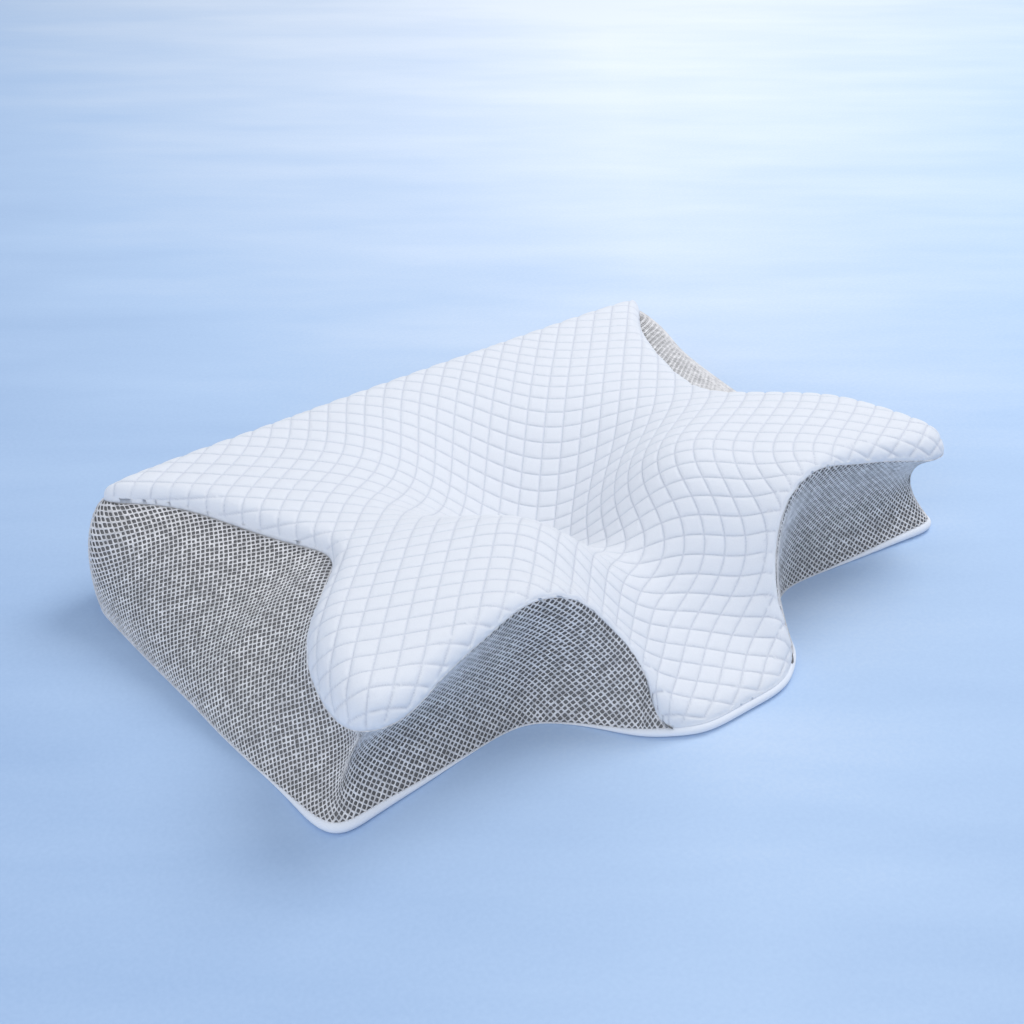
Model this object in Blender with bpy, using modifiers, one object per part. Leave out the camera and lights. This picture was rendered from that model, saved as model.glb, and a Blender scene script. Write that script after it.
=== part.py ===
"""Butterfly cervical contour pillow: a foam core in a liner, inside a zipped cover.

The cover is one skin around the foam. Stations round the edge say where the skin's top
seam and base seam run, and a table of heights says how the top surface rolls. Every panel
is a patch of that skin, made thick towards the inside along the skin's own normals, so
that neighbouring panels meet in mitred seams and the liner and foam nest inside them.
Frame: +X to the sleeper's left, +Y towards the back edge, +Z up, base on z = 0.
"""
import math

import bmesh
import bpy
import numpy as np
from mathutils import Matrix, Vector

MM = 0.001

# ---------------------------------------------------------------- driving dimensions (mm)

# Half of the edge, from the front middle to the back middle: top seam x, y, z | base seam x, y, z |
# how far the side wall bulges by its top, by its base
STATIONS = [
    (0, -214, 7, 0, -214, 7, 0, 0),          # tongue, middle of its front edge
    (38, -212, 7, 38, -212, 7, 0, 0),
    (59, -202, 7, 59, -202, 7, 0, 0),        # tongue corner, where the side wall starts
    (67, -178, 45, 78, -186, 6, 2, -6),
    (83, -157, 80, 96, -160, 4, 4, -12),
    (104, -147, 104, 114, -139, 3, 2, -14),
    (138, -142, 114, 136, -127, 3, -2, -14),   # front notch
    (174, -144, 107, 170, -127, 3, -8, -16),
    (220, -152, 97, 222, -133, 5, -18, -20),
    (260, -160, 88, 268, -138, 7, -28, -26),
    (284, -146, 84, 296, -136, 8, -32, -30),   # wing tip over the base corner
    (280, -100, 82, 302, -95, 5, -30, -26),
    (254, -48, 84, 302, -45, 3, -6, -12),
    (208, -5, 88, 302, 0, 3, 24, 0),
    (192, 18, 91, 301, 25, 3, 46, 2),        # side notch, over a sloping shelf
    (197, 55, 86, 300, 60, 3, 60, 4),
    (216, 108, 84, 299, 110, 3, 62, 6),
    (246, 165, 86, 297, 165, 3, 52, 8),
    (274, 200, 85, 288, 199, 4, 32, 8),      # back corner
    (252, 208, 86, 252, 215, 4, 3, -2),
    (150, 208, 88, 150, 215, 4, 1, -3),
    (0, 208, 88, 0, 215, 4, 1, -3),          # back edge, middle
]
WALL_STARTS = 2  # the station at which top seam and base seam part

# Heights of the top surface before its edge is rolled: a row for each y, a column for each x
HEIGHT_X = [0, 60, 120, 190, 290]
HEIGHT_Y = [-216, -150, -90, -30, 30, 90, 160, 216]
HEIGHTS = [
    [14, 15, 80, 110, 104],      # front edge of the tongue; wing fronts
    [42, 64, 112, 116, 108],
    [68, 105, 119, 119, 108],    # neck support between the two shoulder humps
    [50, 95, 115, 114, 106],
    [36, 62, 96, 103, 102],      # head hollow
    [66, 79, 96, 100, 100],
    [100, 101, 101, 101, 100],   # ridge along the back
    [102, 102, 102, 101, 98],
]
EDGE_ROLL = 14        # least width of the rolled edge of the top surface
EDGE_BLEND = 5        # length of edge over which the roll's measures are averaged
EDGE_RISE = 8         # least rise of that roll over the top seam
RISE_REACH = 42       # how far in from the seam the surface is lifted to give that rise
LIP = 7               # height at which the base seam's lip bulges in full
LIP_BULGE = 2.5       # how far the base panel's lip stands out under the base seam
FOOT_INSET = 5        # how far the flat underside stays in from the base seam
WALL_TOP_PULL = 0.20  # share of the wall's height over which it leaves the top seam downwards
WALL_BASE_PULL = 0.45

TOP_THICK = 3.0       # quilted laminate
SIDE_THICK = 1.5      # open mesh
BASE_THICK = 1.5      # plain knit
LINER_AT = 4.2        # depth of the liner's outer face
LINER_THICK = 0.5
CORE_AT = 6.2         # depth of the foam's face
SEAM_GAP = 0.3        # how far each panel's edge stays back from the seam line

TOP_MIDDLE = (0.0, -20.0)   # where the spokes meet, on the top and on the underside
BASE_MIDDLE = (0.0, 20.0)

# Rings of the skin, from the middle of the top surface to the middle of the underside
TOP_FAN = [0.0, 0.2, 0.4, 0.6, 0.8]          # shares of the way to the rolled edge
TOP_ROLL = [90, 50, 22, 0]                  # degrees left of the roll
WALL_RINGS = [0.22, 0.43, 0.57, 0.78, 1.0]  # shares of the way down the wall
ZIP_RINGS = (0.43, 0.57)                    # the zip's opening lies between these two
SPOKES_PER_STATION = {2: 2, 3: 2, 4: 2, 5: 2, 6: 2, 10: 2, 18: 2}  # the rest have one

# Zip, closed by a slider that runs along the back
ZIP_HALF = 232        # half the length of its tapes
CHAIN_HALF = 226      # half the length of its coils
TAPE_DEPTH = 1.8      # depth of the tapes' outer face
TAPE_THICK = 0.5
TAPE_WIDTH = 14
TAPE_SLIT = 1.6       # gap between the two tapes, where the slider's neck runs
COIL_WIDTH = 2.6
COIL_THICK = 2.0
SLIDER_AT = 205       # x of the slider when the zip is closed
SLIDER_LENGTH = 11
SLIDER_WIDTH = 8.4
PLATE_THICK = 0.9
NECK_THICK = 1.0
BRIDGE_RISE = 3.0
BRIDGE_THICK = 0.8
PULL_BAR = 1.0         # the bar of the pull that turns in the bridge
PULL_LENGTH = 26
PULL_WIDTH = 7
PULL_THICK = 1.0
STOP_SIZE = (3.0, 6.4, 2.6)
LABEL_SIZE = (28, 30, 0.6)
LABEL_X = -170
LABEL_GAP = 0.4

WHITE_KNIT = ("white_knit", (0.90, 0.91, 0.93), 0.85, 0.0)
GREY_MESH = ("grey_mesh", (0.42, 0.43, 0.45), 0.9, 0.0)
BASE_KNIT = ("base_knit", (0.86, 0.88, 0.92), 0.85, 0.0)
LINER_JERSEY = ("liner_jersey", (0.93, 0.93, 0.92), 0.9, 0.0)
FOAM = ("memory_foam", (0.95, 0.91, 0.78), 0.95, 0.0)
TAPE_GREY = ("zip_tape", (0.45, 0.46, 0.48), 0.85, 0.0)
COIL_GREY = ("zip_coil", (0.35, 0.36, 0.38), 0.45, 0.0)
ZINC = ("zip_zinc", (0.62, 0.63, 0.65), 0.35, 1.0)
LABEL_SATIN = ("label_satin", (0.95, 0.95, 0.94), 0.6, 0.0)


# ---------------------------------------------------------------- scene and objects

def clear_scene():
    for obj in list(bpy.data.objects):
        bpy.data.objects.remove(obj, do_unlink=True)


def make_collection(name):
    collection = bpy.data.collections.new(name)
    bpy.context.scene.collection.children.link(collection)
    return collection


def make_material(name, colour, roughness, metallic):
    material = bpy.data.materials.get(name) or bpy.data.materials.new(name)
    material.use_nodes = True
    shader = material.node_tree.nodes["Principled BSDF"]
    shader.inputs["Base Color"].default_value = (*colour, 1.0)
    shader.inputs["Roughness"].default_value = roughness
    shader.inputs["Metallic"].default_value = metallic
    return material


def add_object(name, mesh, finish, collection):
    obj = bpy.data.objects.new(name, mesh)
    collection.objects.link(obj)
    obj.data.materials.clear()
    obj.data.materials.append(make_material(*finish))
    return obj


# ---------------------------------------------------------------- smooth curves through few points

def spline_slopes(knots, points, periodic):
    """Second derivatives of the cubic spline through points at knots."""
    n = len(points)
    steps = np.diff(knots)
    system = np.eye(n)
    right = np.zeros_like(points)
    rows = range(n) if periodic else range(1, n - 1)
    for i in rows:
        before, after = steps[i - 1], steps[i]
        system[i] = 0
        system[i, i - 1] += before
        system[i, i] += 2 * (before + after)
        system[i, (i + 1) % n] += after
        rise_after = (points[(i + 1) % n] - points[i]) / after
        rise_before = (points[i] - points[i - 1]) / before
        right[i] = 6 * (rise_after - rise_before)
    return np.linalg.solve(system, right)


def spline_at(knots, points, slopes, where):
    """The cubic spline's values at where."""
    n = len(points)
    i = np.clip(np.searchsorted(knots, where, side="right") - 1, 0, len(knots) - 2)
    j = (i + 1) % n
    step = (knots[i + 1] - knots[i])[:, None]
    left = (knots[i + 1] - where)[:, None]
    right = (where - knots[i])[:, None]
    bend = (slopes[i] * left**3 + slopes[j] * right**3) / (6 * step)
    return (
        bend
        + (points[i] / step - slopes[i] * step / 6) * left
        + (points[j] / step - slopes[j] * step / 6) * right
    )


class Edge:
    """The closed run of stations, as smooth curves of one parameter."""

    def __init__(self):
        half = np.array(STATIONS, float)
        other = half[1:-1][::-1].copy()
        other[:, [0, 3]] *= -1
        self.points = np.vstack([half, other])
        plan = self.points[:, [0, 1, 3, 4]]
        lengths = np.linalg.norm(np.roll(plan, -1, axis=0) - plan, axis=1) ** 0.6
        self.knots = np.concatenate([[0], np.cumsum(lengths)])
        self.slopes = spline_slopes(self.knots, self.points, periodic=True)

    def at(self, where):
        rows = spline_at(self.knots, self.points, self.slopes, np.asarray(where, float))
        # Along the tongue's front the two seams are one
        start = self.knots[WALL_STARTS]
        opening = self.knots[WALL_STARTS + 1] - start
        from_front = np.minimum(where, self.knots[-1] - where)
        share = np.clip((from_front - start) / opening, 0, 1)[:, None]
        seam = rows[:, 3:6]
        rows[:, 0:3] = seam + (rows[:, 0:3] - seam) * share
        rows[:, 2] = np.maximum(rows[:, 2], rows[:, 5])
        return rows

    def spokes(self):
        """Parameters of the skin's spokes, the same on both halves."""
        half = []
        for i in range(len(STATIONS) - 1):
            count = SPOKES_PER_STATION.get(i, 1)
            span = self.knots[i + 1] - self.knots[i]
            half += [self.knots[i] + span * k / count for k in range(count)]
        last = self.knots[len(STATIONS) - 1]
        mirrored = [self.knots[-1] - u for u in half[1:]][::-1]
        return np.array(half + [last] + mirrored)


def height(x, y):
    """Height of the top surface before its edge is rolled."""
    ys, rows = np.array(HEIGHT_Y, float), np.array(HEIGHTS, float)
    down = spline_slopes(ys, rows, periodic=False)
    by_row = spline_at(ys, rows, down, np.clip(y, ys[0], ys[-1]))
    xs = np.array([-v for v in HEIGHT_X[:0:-1]] + HEIGHT_X, float)
    both = np.hstack([by_row[:, :0:-1], by_row]).T
    across = spline_slopes(xs, both, periodic=False)
    i = np.clip(np.searchsorted(xs, x, side="right") - 1, 0, len(xs) - 2)
    k = np.arange(len(x))
    step = xs[i + 1] - xs[i]
    left, right = xs[i + 1] - x, x - xs[i]
    return (
        (across[i, k] * left**3 + across[i + 1, k] * right**3) / (6 * step)
        + (both[i, k] / step - across[i, k] * step / 6) * left
        + (both[i + 1, k] / step - across[i + 1, k] * step / 6) * right
    )


# ---------------------------------------------------------------- the skin

def outward(points):
    """Level unit normals of a closed run of points that goes round anticlockwise."""
    along = np.roll(points, -1, axis=0) - np.roll(points, 1, axis=0)
    normals = np.column_stack([along[:, 1], -along[:, 0]])
    return normals / np.linalg.norm(normals, axis=1)[:, None]


class Skin:
    """Grid of points, one row for each ring and one column for each spoke."""

    def __init__(self):
        self.edge = Edge()
        self.where = self.edge.spokes()
        self.rows = self.edge.at(self.where)
        fine = np.linspace(0, self.edge.knots[-1], 1500, endpoint=False)
        self.outline = self.edge.at(fine)
        self.rise = height(self.outline[:, 0], self.outline[:, 1]) - self.outline[:, 2]
        self.lift = np.maximum(EDGE_RISE - self.rise, 0)
        rings = self.top_rings() + self.wall_rings() + self.base_rings()
        self.grid = np.array(rings)
        self.seam_ring = len(TOP_FAN) + len(TOP_ROLL) - 2
        self.base_ring = self.seam_ring + len(WALL_RINGS)
        self.zip_rings = [self.seam_ring + 1 + WALL_RINGS.index(v) for v in ZIP_RINGS]
        self.normals = self.shared_normals()

    def roll(self, plan):
        """Distance from the edge, with the roll's width and rise and the lift near there."""
        gaps = np.linalg.norm(plan[:, None] - self.outline[None, :, :2], axis=2)
        distance = gaps.min(axis=1)
        weight = np.exp((distance[:, None] - gaps) / EDGE_BLEND)
        weight /= weight.sum(axis=1, keepdims=True)
        rise, lift = weight @ self.rise, weight @ self.lift
        return distance, np.maximum(EDGE_ROLL, rise), rise, lift

    def top_surface(self, plan):
        distance, width, rise, lift = self.roll(plan)
        near = np.clip(1 - distance / RISE_REACH, 0, 1) ** 2
        short = np.clip(1 - distance / width, 0, 1)
        fall = (rise + lift) * (1 - np.sqrt(1 - short**2))
        z = height(plan[:, 0], plan[:, 1]) + lift * near - fall
        return np.column_stack([plan, z])

    def top_rings(self):
        middle = np.array(TOP_MIDDLE)
        seam = self.rows[:, :2]
        shares = np.linspace(0, 1, 161)
        reach = np.zeros((len(seam), len(TOP_ROLL)))
        for j, end in enumerate(seam):
            line = middle + (end - middle) * shares[:, None]
            distance, width, _, _ = self.roll(line)
            for k, degrees in enumerate(TOP_ROLL):
                inset = 1 - math.cos(math.radians(degrees))
                inside = np.flatnonzero(distance >= inset * width[-1])
                reach[j, k] = shares[inside[-1]] if degrees else 1.0
        rings = [middle + (seam - middle) * (f * reach[:, :1]) for f in TOP_FAN]
        rings += [middle + (seam - middle) * reach[:, k:k + 1] for k in range(len(TOP_ROLL))]
        made = [self.top_surface(ring) for ring in rings[:-1]]
        made.append(self.rows[:, :3].copy())
        return made[1:]

    def wall_rings(self):
        top, base = self.rows[:, :3], self.rows[:, 3:6]
        tall = top[:, 2] - base[:, 2]
        share = np.clip(tall / 30, 0, 1)
        top_out = outward(top[:, :2]) * (self.rows[:, 6] * share)[:, None]
        base_out = outward(base[:, :2]) * (self.rows[:, 7] * share)[:, None]
        near_top = top + np.column_stack([top_out, -tall * WALL_TOP_PULL])
        near_base = base + np.column_stack([base_out, tall * WALL_BASE_PULL])
        rings = []
        for v in WALL_RINGS:
            w = 1 - v
            rings.append(w**3 * top + 3 * w * w * v * near_top + 3 * w * v * v * near_base + v**3 * base)
        return rings

    def base_rings(self):
        base = self.rows[:, 3:5]
        out = outward(base)
        lip = self.rows[:, 5]
        bulge = base + out * (LIP_BULGE * lip / LIP)[:, None]
        foot = base - out * FOOT_INSET
        centre = np.array(BASE_MIDDLE)
        inner = centre + (foot - centre) * 0.5
        count = len(base)
        return [
            np.column_stack([bulge, lip * 0.5]),
            np.column_stack([foot, np.zeros(count)]),
            np.column_stack([inner, np.zeros(count)]),
        ]

    def shared_normals(self):
        """Unit normals of the whole closed skin, shared by all that is made from it."""
        self.ends = np.array([self.top_middle(), [*BASE_MIDDLE, 0.0]])
        self.end_normals = np.array([[0.0, 0.0, 1.0], [0.0, 0.0, -1.0]])
        after = np.roll(self.grid, -1, axis=1)
        across = after[1:] - self.grid[:-1]
        back = self.grid[1:] - after[:-1]
        faces = np.cross(back, across)
        sizes = np.linalg.norm(faces, axis=2, keepdims=True)
        faces = np.where(sizes > 1e-6, faces / np.maximum(sizes, 1e-6), 0)
        around = faces + np.roll(faces, 1, axis=1)
        normals = np.zeros_like(self.grid)
        normals[:-1] += around
        normals[1:] += around
        # Where the wall has no height, its rings are one line with one normal
        seams = slice(self.seam_ring, self.base_ring + 1)
        closed = self.grid[self.seam_ring, :, 2] - self.grid[self.base_ring, :, 2] < 0.01
        normals[seams, closed] = normals[seams][:, closed].sum(axis=0)
        return normals / np.linalg.norm(normals, axis=2, keepdims=True)

    def top_middle(self):
        return self.top_surface(np.array([TOP_MIDDLE]))[0]

    def layer(self, depth):
        """The skin moved inwards. The liner and the foam stay above the underside and the lip."""
        grid = self.grid - self.normals * depth
        if depth > BASE_THICK:
            lip = self.base_ring + 1
            grid[lip] = (grid[lip - 1] + grid[lip + 1]) / 2
            grid[:, :, 2] = np.maximum(grid[:, :, 2], depth)
        return grid

    def layer_ends(self, depth):
        return self.ends - self.end_normals * depth


# ---------------------------------------------------------------- bodies made from the skin

def closed_mesh(name, bm):
    bmesh.ops.remove_doubles(bm, verts=bm.verts, dist=0.00001)
    bmesh.ops.dissolve_degenerate(bm, edges=bm.edges, dist=0.00001)
    bmesh.ops.recalc_face_normals(bm, faces=bm.faces)
    mesh = bpy.data.meshes.new(name)
    bm.to_mesh(mesh)
    bm.free()
    mesh.shade_smooth()
    mesh.set_sharp_from_angle(angle=math.radians(40))
    return mesh


def pulled_back(points, axis, edges=((0, 1), (-1, -2))):
    """The grid with its outer rows moved inwards, square to the seam, by the seam gap."""
    points = np.moveaxis(points.copy(), axis, 0)
    for edge, inner in edges:
        along = np.gradient(points[edge], axis=0)
        along /= np.maximum(np.linalg.norm(along, axis=1, keepdims=True), 1e-6)
        step = points[inner] - points[edge]
        step -= along * (step * along).sum(axis=1, keepdims=True)
        length = np.maximum(np.linalg.norm(step, axis=1, keepdims=True), 1e-6)
        points[edge] += step / length * np.minimum(SEAM_GAP, 0.4 * length)
    return np.moveaxis(points, 0, axis)


def panel(name, skin, first, last, spokes, thick, finish, collection, round_it=False, end=None):
    """A patch of the skin from ring first to ring last over the named spokes, made thick.

    round_it says that the patch goes all the way round, and end is the skin's end
    (0 for the top, 1 for the underside) that closes it in the middle.
    """
    sides = []
    for depth in (0.0, thick):
        patch = skin.layer(depth)[first:last + 1][:, spokes]
        free = {None: ((0, 1), (-1, -2)), 0: ((-1, -2),), 1: ((0, 1),)}[end]
        patch = pulled_back(patch, 0, free)
        if not round_it:
            patch = pulled_back(patch, 1)
        sides.append(patch)
    bm = bmesh.new()
    rows, count = sides[0].shape[:2]
    verts = [[[bm.verts.new(Vector(p) * MM) for p in row] for row in side] for side in sides]
    columns = count if round_it else count - 1
    for side in range(2):
        for i in range(rows - 1):
            for j in range(columns):
                k = (j + 1) % count
                grid = verts[side]
                bm.faces.new((grid[i][j], grid[i + 1][j], grid[i + 1][k], grid[i][k]))
    rims = [i for i in (0, rows - 1) if end is None or i == (rows - 1 if end == 0 else 0)]
    for i in rims:
        for j in range(columns):
            k = (j + 1) % count
            bm.faces.new((verts[0][i][j], verts[0][i][k], verts[1][i][k], verts[1][i][j]))
    if not round_it:
        for j in (0, count - 1):
            for i in range(rows - 1):
                bm.faces.new((verts[0][i][j], verts[0][i + 1][j], verts[1][i + 1][j], verts[1][i][j]))
    if end is not None:
        i = 0 if end == 0 else rows - 1
        for side, depth in enumerate((0.0, thick)):
            tip = bm.verts.new(Vector(skin.layer_ends(depth)[end]) * MM)
            for j in range(columns):
                bm.faces.new((tip, verts[side][i][j], verts[side][i][(j + 1) % count]))
    return add_object(name, closed_mesh(name, bm), finish, collection)


def whole_layer(bm, skin, depth, leave_out=None):
    """Adds the whole skin at a depth, and returns its grid of vertices."""
    grid = skin.layer(depth)
    verts = [[bm.verts.new(Vector(p) * MM) for p in row] for row in grid]
    rings, count = grid.shape[:2]
    for i in range(rings - 1):
        for j in range(count):
            if leave_out and leave_out(i, j):
                continue
            k = (j + 1) % count
            bm.faces.new((verts[i][j], verts[i + 1][j], verts[i + 1][k], verts[i][k]))
    for end, row in ((0, verts[0]), (1, verts[-1])):
        tip = bm.verts.new(Vector(skin.layer_ends(depth)[end]) * MM)
        for j in range(count):
            bm.faces.new((tip, row[j], row[(j + 1) % count]))
    return verts


def make_core(skin, collection):
    bm = bmesh.new()
    whole_layer(bm, skin, CORE_AT)
    return add_object("foam_core", closed_mesh("foam_core", bm), FOAM, collection)


def make_liner(skin, back_spokes, collection):
    """A thin sock around the foam, open behind the zip, where the foam is put in."""
    upper, lower = skin.zip_rings
    bm = bmesh.new()

    def mouth(i, j):
        return i == upper and j in back_spokes[:-1]

    outer = whole_layer(bm, skin, LINER_AT, mouth)
    inner = whole_layer(bm, skin, LINER_AT + LINER_THICK, mouth)
    for j, k in zip(back_spokes[:-1], back_spokes[1:], strict=True):
        for i in (upper, lower):
            bm.faces.new((outer[i][j], outer[i][k], inner[i][k], inner[i][j]))
    for j in (back_spokes[0], back_spokes[-1]):
        bm.faces.new((outer[upper][j], outer[lower][j], inner[lower][j], inner[upper][j]))
    return add_object("inner_liner", closed_mesh("inner_liner", bm), LINER_JERSEY, collection)


def make_cover(skin, back_spokes, collection):
    """The top panel, the base panel and the panels of the side wall."""
    count = len(skin.where)
    every = list(range(count))
    seam, base = skin.seam_ring, skin.base_ring
    last = len(skin.grid) - 1
    panel("top_panel", skin, 0, seam, every, TOP_THICK, WHITE_KNIT, collection, True, end=0)
    panel("bottom_panel", skin, base, last, every, BASE_THICK, BASE_KNIT, collection, True, end=1)
    start = int(np.flatnonzero(np.isclose(skin.where, skin.edge.knots[WALL_STARTS]))[0])
    right = list(range(start, back_spokes[0] + 1))
    left = list(range(back_spokes[-1], count - start + 1))
    panel("right_side_panel", skin, seam, base, right, SIDE_THICK, GREY_MESH, collection)
    panel("left_side_panel", skin, seam, base, left, SIDE_THICK, GREY_MESH, collection)
    upper, lower = skin.zip_rings
    panel("back_panel_upper", skin, seam, upper, back_spokes, SIDE_THICK, GREY_MESH, collection)
    panel("back_panel_lower", skin, lower, base, back_spokes, SIDE_THICK, GREY_MESH, collection)


# ---------------------------------------------------------------- zip

def zip_frame(skin):
    """An empty in the middle of the zip: X along it, Y out of the wall, Z up the wall."""
    upper, lower = skin.zip_rings
    back = int(np.argmin(np.abs(skin.where - skin.edge.knots[len(STATIONS) - 1])))
    top, low = skin.grid[upper][back], skin.grid[lower][back]
    up = Vector(top - low).normalized()
    across = Vector((1, 0, 0))
    out = up.cross(across)
    centre = Vector((top + low) / 2) * MM
    axes = Matrix((across, out, up)).transposed().to_4x4()
    empty = bpy.data.objects.new("zip_frame", None)
    empty.matrix_world = Matrix.Translation(centre) @ axes
    return empty


def box(name, low, high, finish, parent, collection, bevel=0.0):
    """A box between two corners, in millimetres of its parent's frame."""
    bm = bmesh.new()
    bmesh.ops.create_cube(bm, size=1.0)
    size = [(b - a) * MM for a, b in zip(low, high, strict=True)]
    bmesh.ops.scale(bm, vec=size, verts=bm.verts)
    mesh = bpy.data.meshes.new(name)
    bm.to_mesh(mesh)
    bm.free()
    obj = add_object(name, mesh, finish, collection)
    obj.parent = parent
    obj.location = [(a + b) / 2 * MM for a, b in zip(low, high, strict=True)]
    if bevel:
        rounding = obj.modifiers.new("rounded_edges", "BEVEL")
        rounding.width = bevel * MM
        rounding.segments = 2
    return obj


def make_tapes(parent, collection):
    depth = (-TAPE_DEPTH - TAPE_THICK, -TAPE_DEPTH)
    for name, sign in (("zipper_tape_upper", 1), ("zipper_tape_lower", -1)):
        near, far = sign * TAPE_SLIT / 2, sign * TAPE_WIDTH
        low = (-ZIP_HALF, depth[0], min(near, far))
        high = (ZIP_HALF, depth[1], max(near, far))
        box(name, low, high, TAPE_GREY, parent, collection)


def make_coils(parent, collection):
    """Each row of the chain as the bar that its nylon coil fills."""
    for name, sign in (("zipper_coil_upper", 1), ("zipper_coil_lower", -1)):
        near, far = sign * TAPE_SLIT / 2, sign * (TAPE_SLIT / 2 + COIL_WIDTH)
        outer = -TAPE_DEPTH + 0.3 + COIL_THICK
        low = (-CHAIN_HALF, -TAPE_DEPTH + 0.3, min(near, far))
        high = (CHAIN_HALF, outer, max(near, far))
        box(name, low, high, COIL_GREY, parent, collection, bevel=0.5)


def join_boxes(name, boxes, finish, parent, collection, at, bevel):
    """One body from boxes given around the point at, which becomes its origin."""
    body = None
    for low, high in boxes:
        piece = box(name, low, high, finish, None, collection)
        piece.data.transform(Matrix.Translation(piece.location))
        piece.location = (0, 0, 0)
        if body is None:
            body = piece
            continue
        union = body.modifiers.new("joined", "BOOLEAN")
        union.operation = "UNION"
        union.object = piece
        depsgraph = bpy.context.evaluated_depsgraph_get()
        mesh = bpy.data.meshes.new_from_object(body.evaluated_get(depsgraph))
        body.modifiers.clear()
        body.data = mesh
        bpy.data.objects.remove(piece, do_unlink=True)
    body.name = name
    body.parent = parent
    body.location = [v * MM for v in at]
    rounding = body.modifiers.new("rounded_edges", "BEVEL")
    rounding.width = bevel * MM
    rounding.segments = 2
    rounding.limit_method = "ANGLE"
    return body


def make_slider(parent, collection):
    """Two plates joined by a neck that runs in the chain's slit, with a bridge for the pull."""
    chain_out = -TAPE_DEPTH + 0.3 + COIL_THICK
    plate_in = chain_out + 0.4
    plate_out = plate_in + PLATE_THICK
    lower_out = -TAPE_DEPTH - TAPE_THICK - 0.3
    lower_in = lower_out - PLATE_THICK
    half, wide = SLIDER_LENGTH / 2, SLIDER_WIDTH / 2
    bridge = plate_out + BRIDGE_RISE
    boxes = [
        ((-half, plate_in, -wide), (half, plate_out, wide)),
        ((-half, lower_in, -wide), (half, lower_out, wide)),
        ((half - 3, lower_in + 0.2, -NECK_THICK / 2), (half - 0.5, plate_out - 0.2, NECK_THICK / 2)),
        ((-half + 1, plate_out - 0.2, -1.2), (-half + 2.6, bridge, 1.2)),
        ((half - 3.2, plate_out - 0.2, -1.2), (half - 1.6, bridge, 1.2)),
        ((-half + 1, bridge - BRIDGE_THICK, -1.2), (half - 1.6, bridge, 1.2)),
    ]
    at = (SLIDER_AT, 0, 0)
    return join_boxes("zipper_slider", boxes, ZINC, parent, collection, at, bevel=0.15), plate_out


def make_pull(parent, plate_out, collection):
    """A flat tab with an eye that the slider's bridge passes through.

    Its origin is on the hinge axis, which runs across the zip through the bridge's opening.
    """
    hinge = plate_out + (BRIDGE_RISE - BRIDGE_THICK) / 2
    wide, thick, bar = PULL_WIDTH / 2, PULL_THICK / 2, PULL_BAR / 2
    arm, eye_end = 1.5, -5.8
    boxes = [
        ((-bar, -bar, -wide), (bar, bar, wide)),
        ((eye_end - 0.2, -thick, -wide), (bar - 0.1, thick, -wide + arm)),
        ((eye_end - 0.2, -thick, wide - arm), (bar - 0.1, thick, wide)),
        ((-PULL_LENGTH, -thick, -wide), (eye_end, thick, wide)),
    ]
    at = (SLIDER_AT, hinge, 0)
    return join_boxes("zipper_pull", boxes, ZINC, parent, collection, at, bevel=0.2)


def make_stops(parent, collection):
    long, wide, thick = STOP_SIZE
    inner = -TAPE_DEPTH + 0.3
    for name, sign in (("zipper_stop_left", -1), ("zipper_stop_right", 1)):
        near = sign * (CHAIN_HALF + 0.4)
        far = sign * (CHAIN_HALF + 0.4 + long)
        low = (min(near, far), inner, -wide / 2)
        high = (max(near, far), inner + thick, wide / 2)
        box(name, low, high, ZINC, parent, collection, bevel=0.4)


def make_label(skin, back_spokes, collection):
    """A blank care label that hangs from the top seam over the back wall."""
    wide, tall, thick = LABEL_SIZE
    seam, upper = skin.seam_ring, skin.zip_rings[0]
    wall = skin.grid[seam:upper + 1, back_spokes]
    top = Vector((LABEL_X, wall[..., 1].max() + LABEL_GAP, wall[0, 0, 2] - SEAM_GAP))
    box(
        "care_label",
        (top.x - wide / 2, top.y, top.z - tall),
        (top.x + wide / 2, top.y + thick, top.z),
        LABEL_SATIN, None, collection, bevel=0.15,
    )


# ---------------------------------------------------------------- the whole pillow

def main():
    clear_scene()
    pillow = make_collection("cervical_contour_pillow")
    skin = Skin()
    back_ends = [len(STATIONS) - 3, len(STATIONS) + 1]
    knots = skin.edge.knots[back_ends]
    chosen = (skin.where >= knots[0] - 1e-6) & (skin.where <= knots[1] + 1e-6)
    back_spokes = np.flatnonzero(chosen).tolist()
    make_core(skin, pillow)
    make_liner(skin, back_spokes, pillow)
    make_cover(skin, back_spokes, pillow)
    frame = zip_frame(skin)
    pillow.objects.link(frame)
    make_tapes(frame, pillow)
    make_coils(frame, pillow)
    slider, plate_out = make_slider(frame, pillow)
    make_pull(frame, plate_out, pillow)
    make_stops(frame, pillow)
    make_label(skin, back_spokes, pillow)


main()
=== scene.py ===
"""Looks of the butterfly contour pillow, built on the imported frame.

The outline and the heights of the pillow are repeated here in the millimetres in which it
was designed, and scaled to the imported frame. From them come a finely quilted top, side
walls of open net over a dark inner knit, a plain base panel with its lip, and the zip.
"""
import math

import bmesh
import bpy
import numpy as np
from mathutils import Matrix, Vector
from mathutils.geometry import delaunay_2d_cdt


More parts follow.
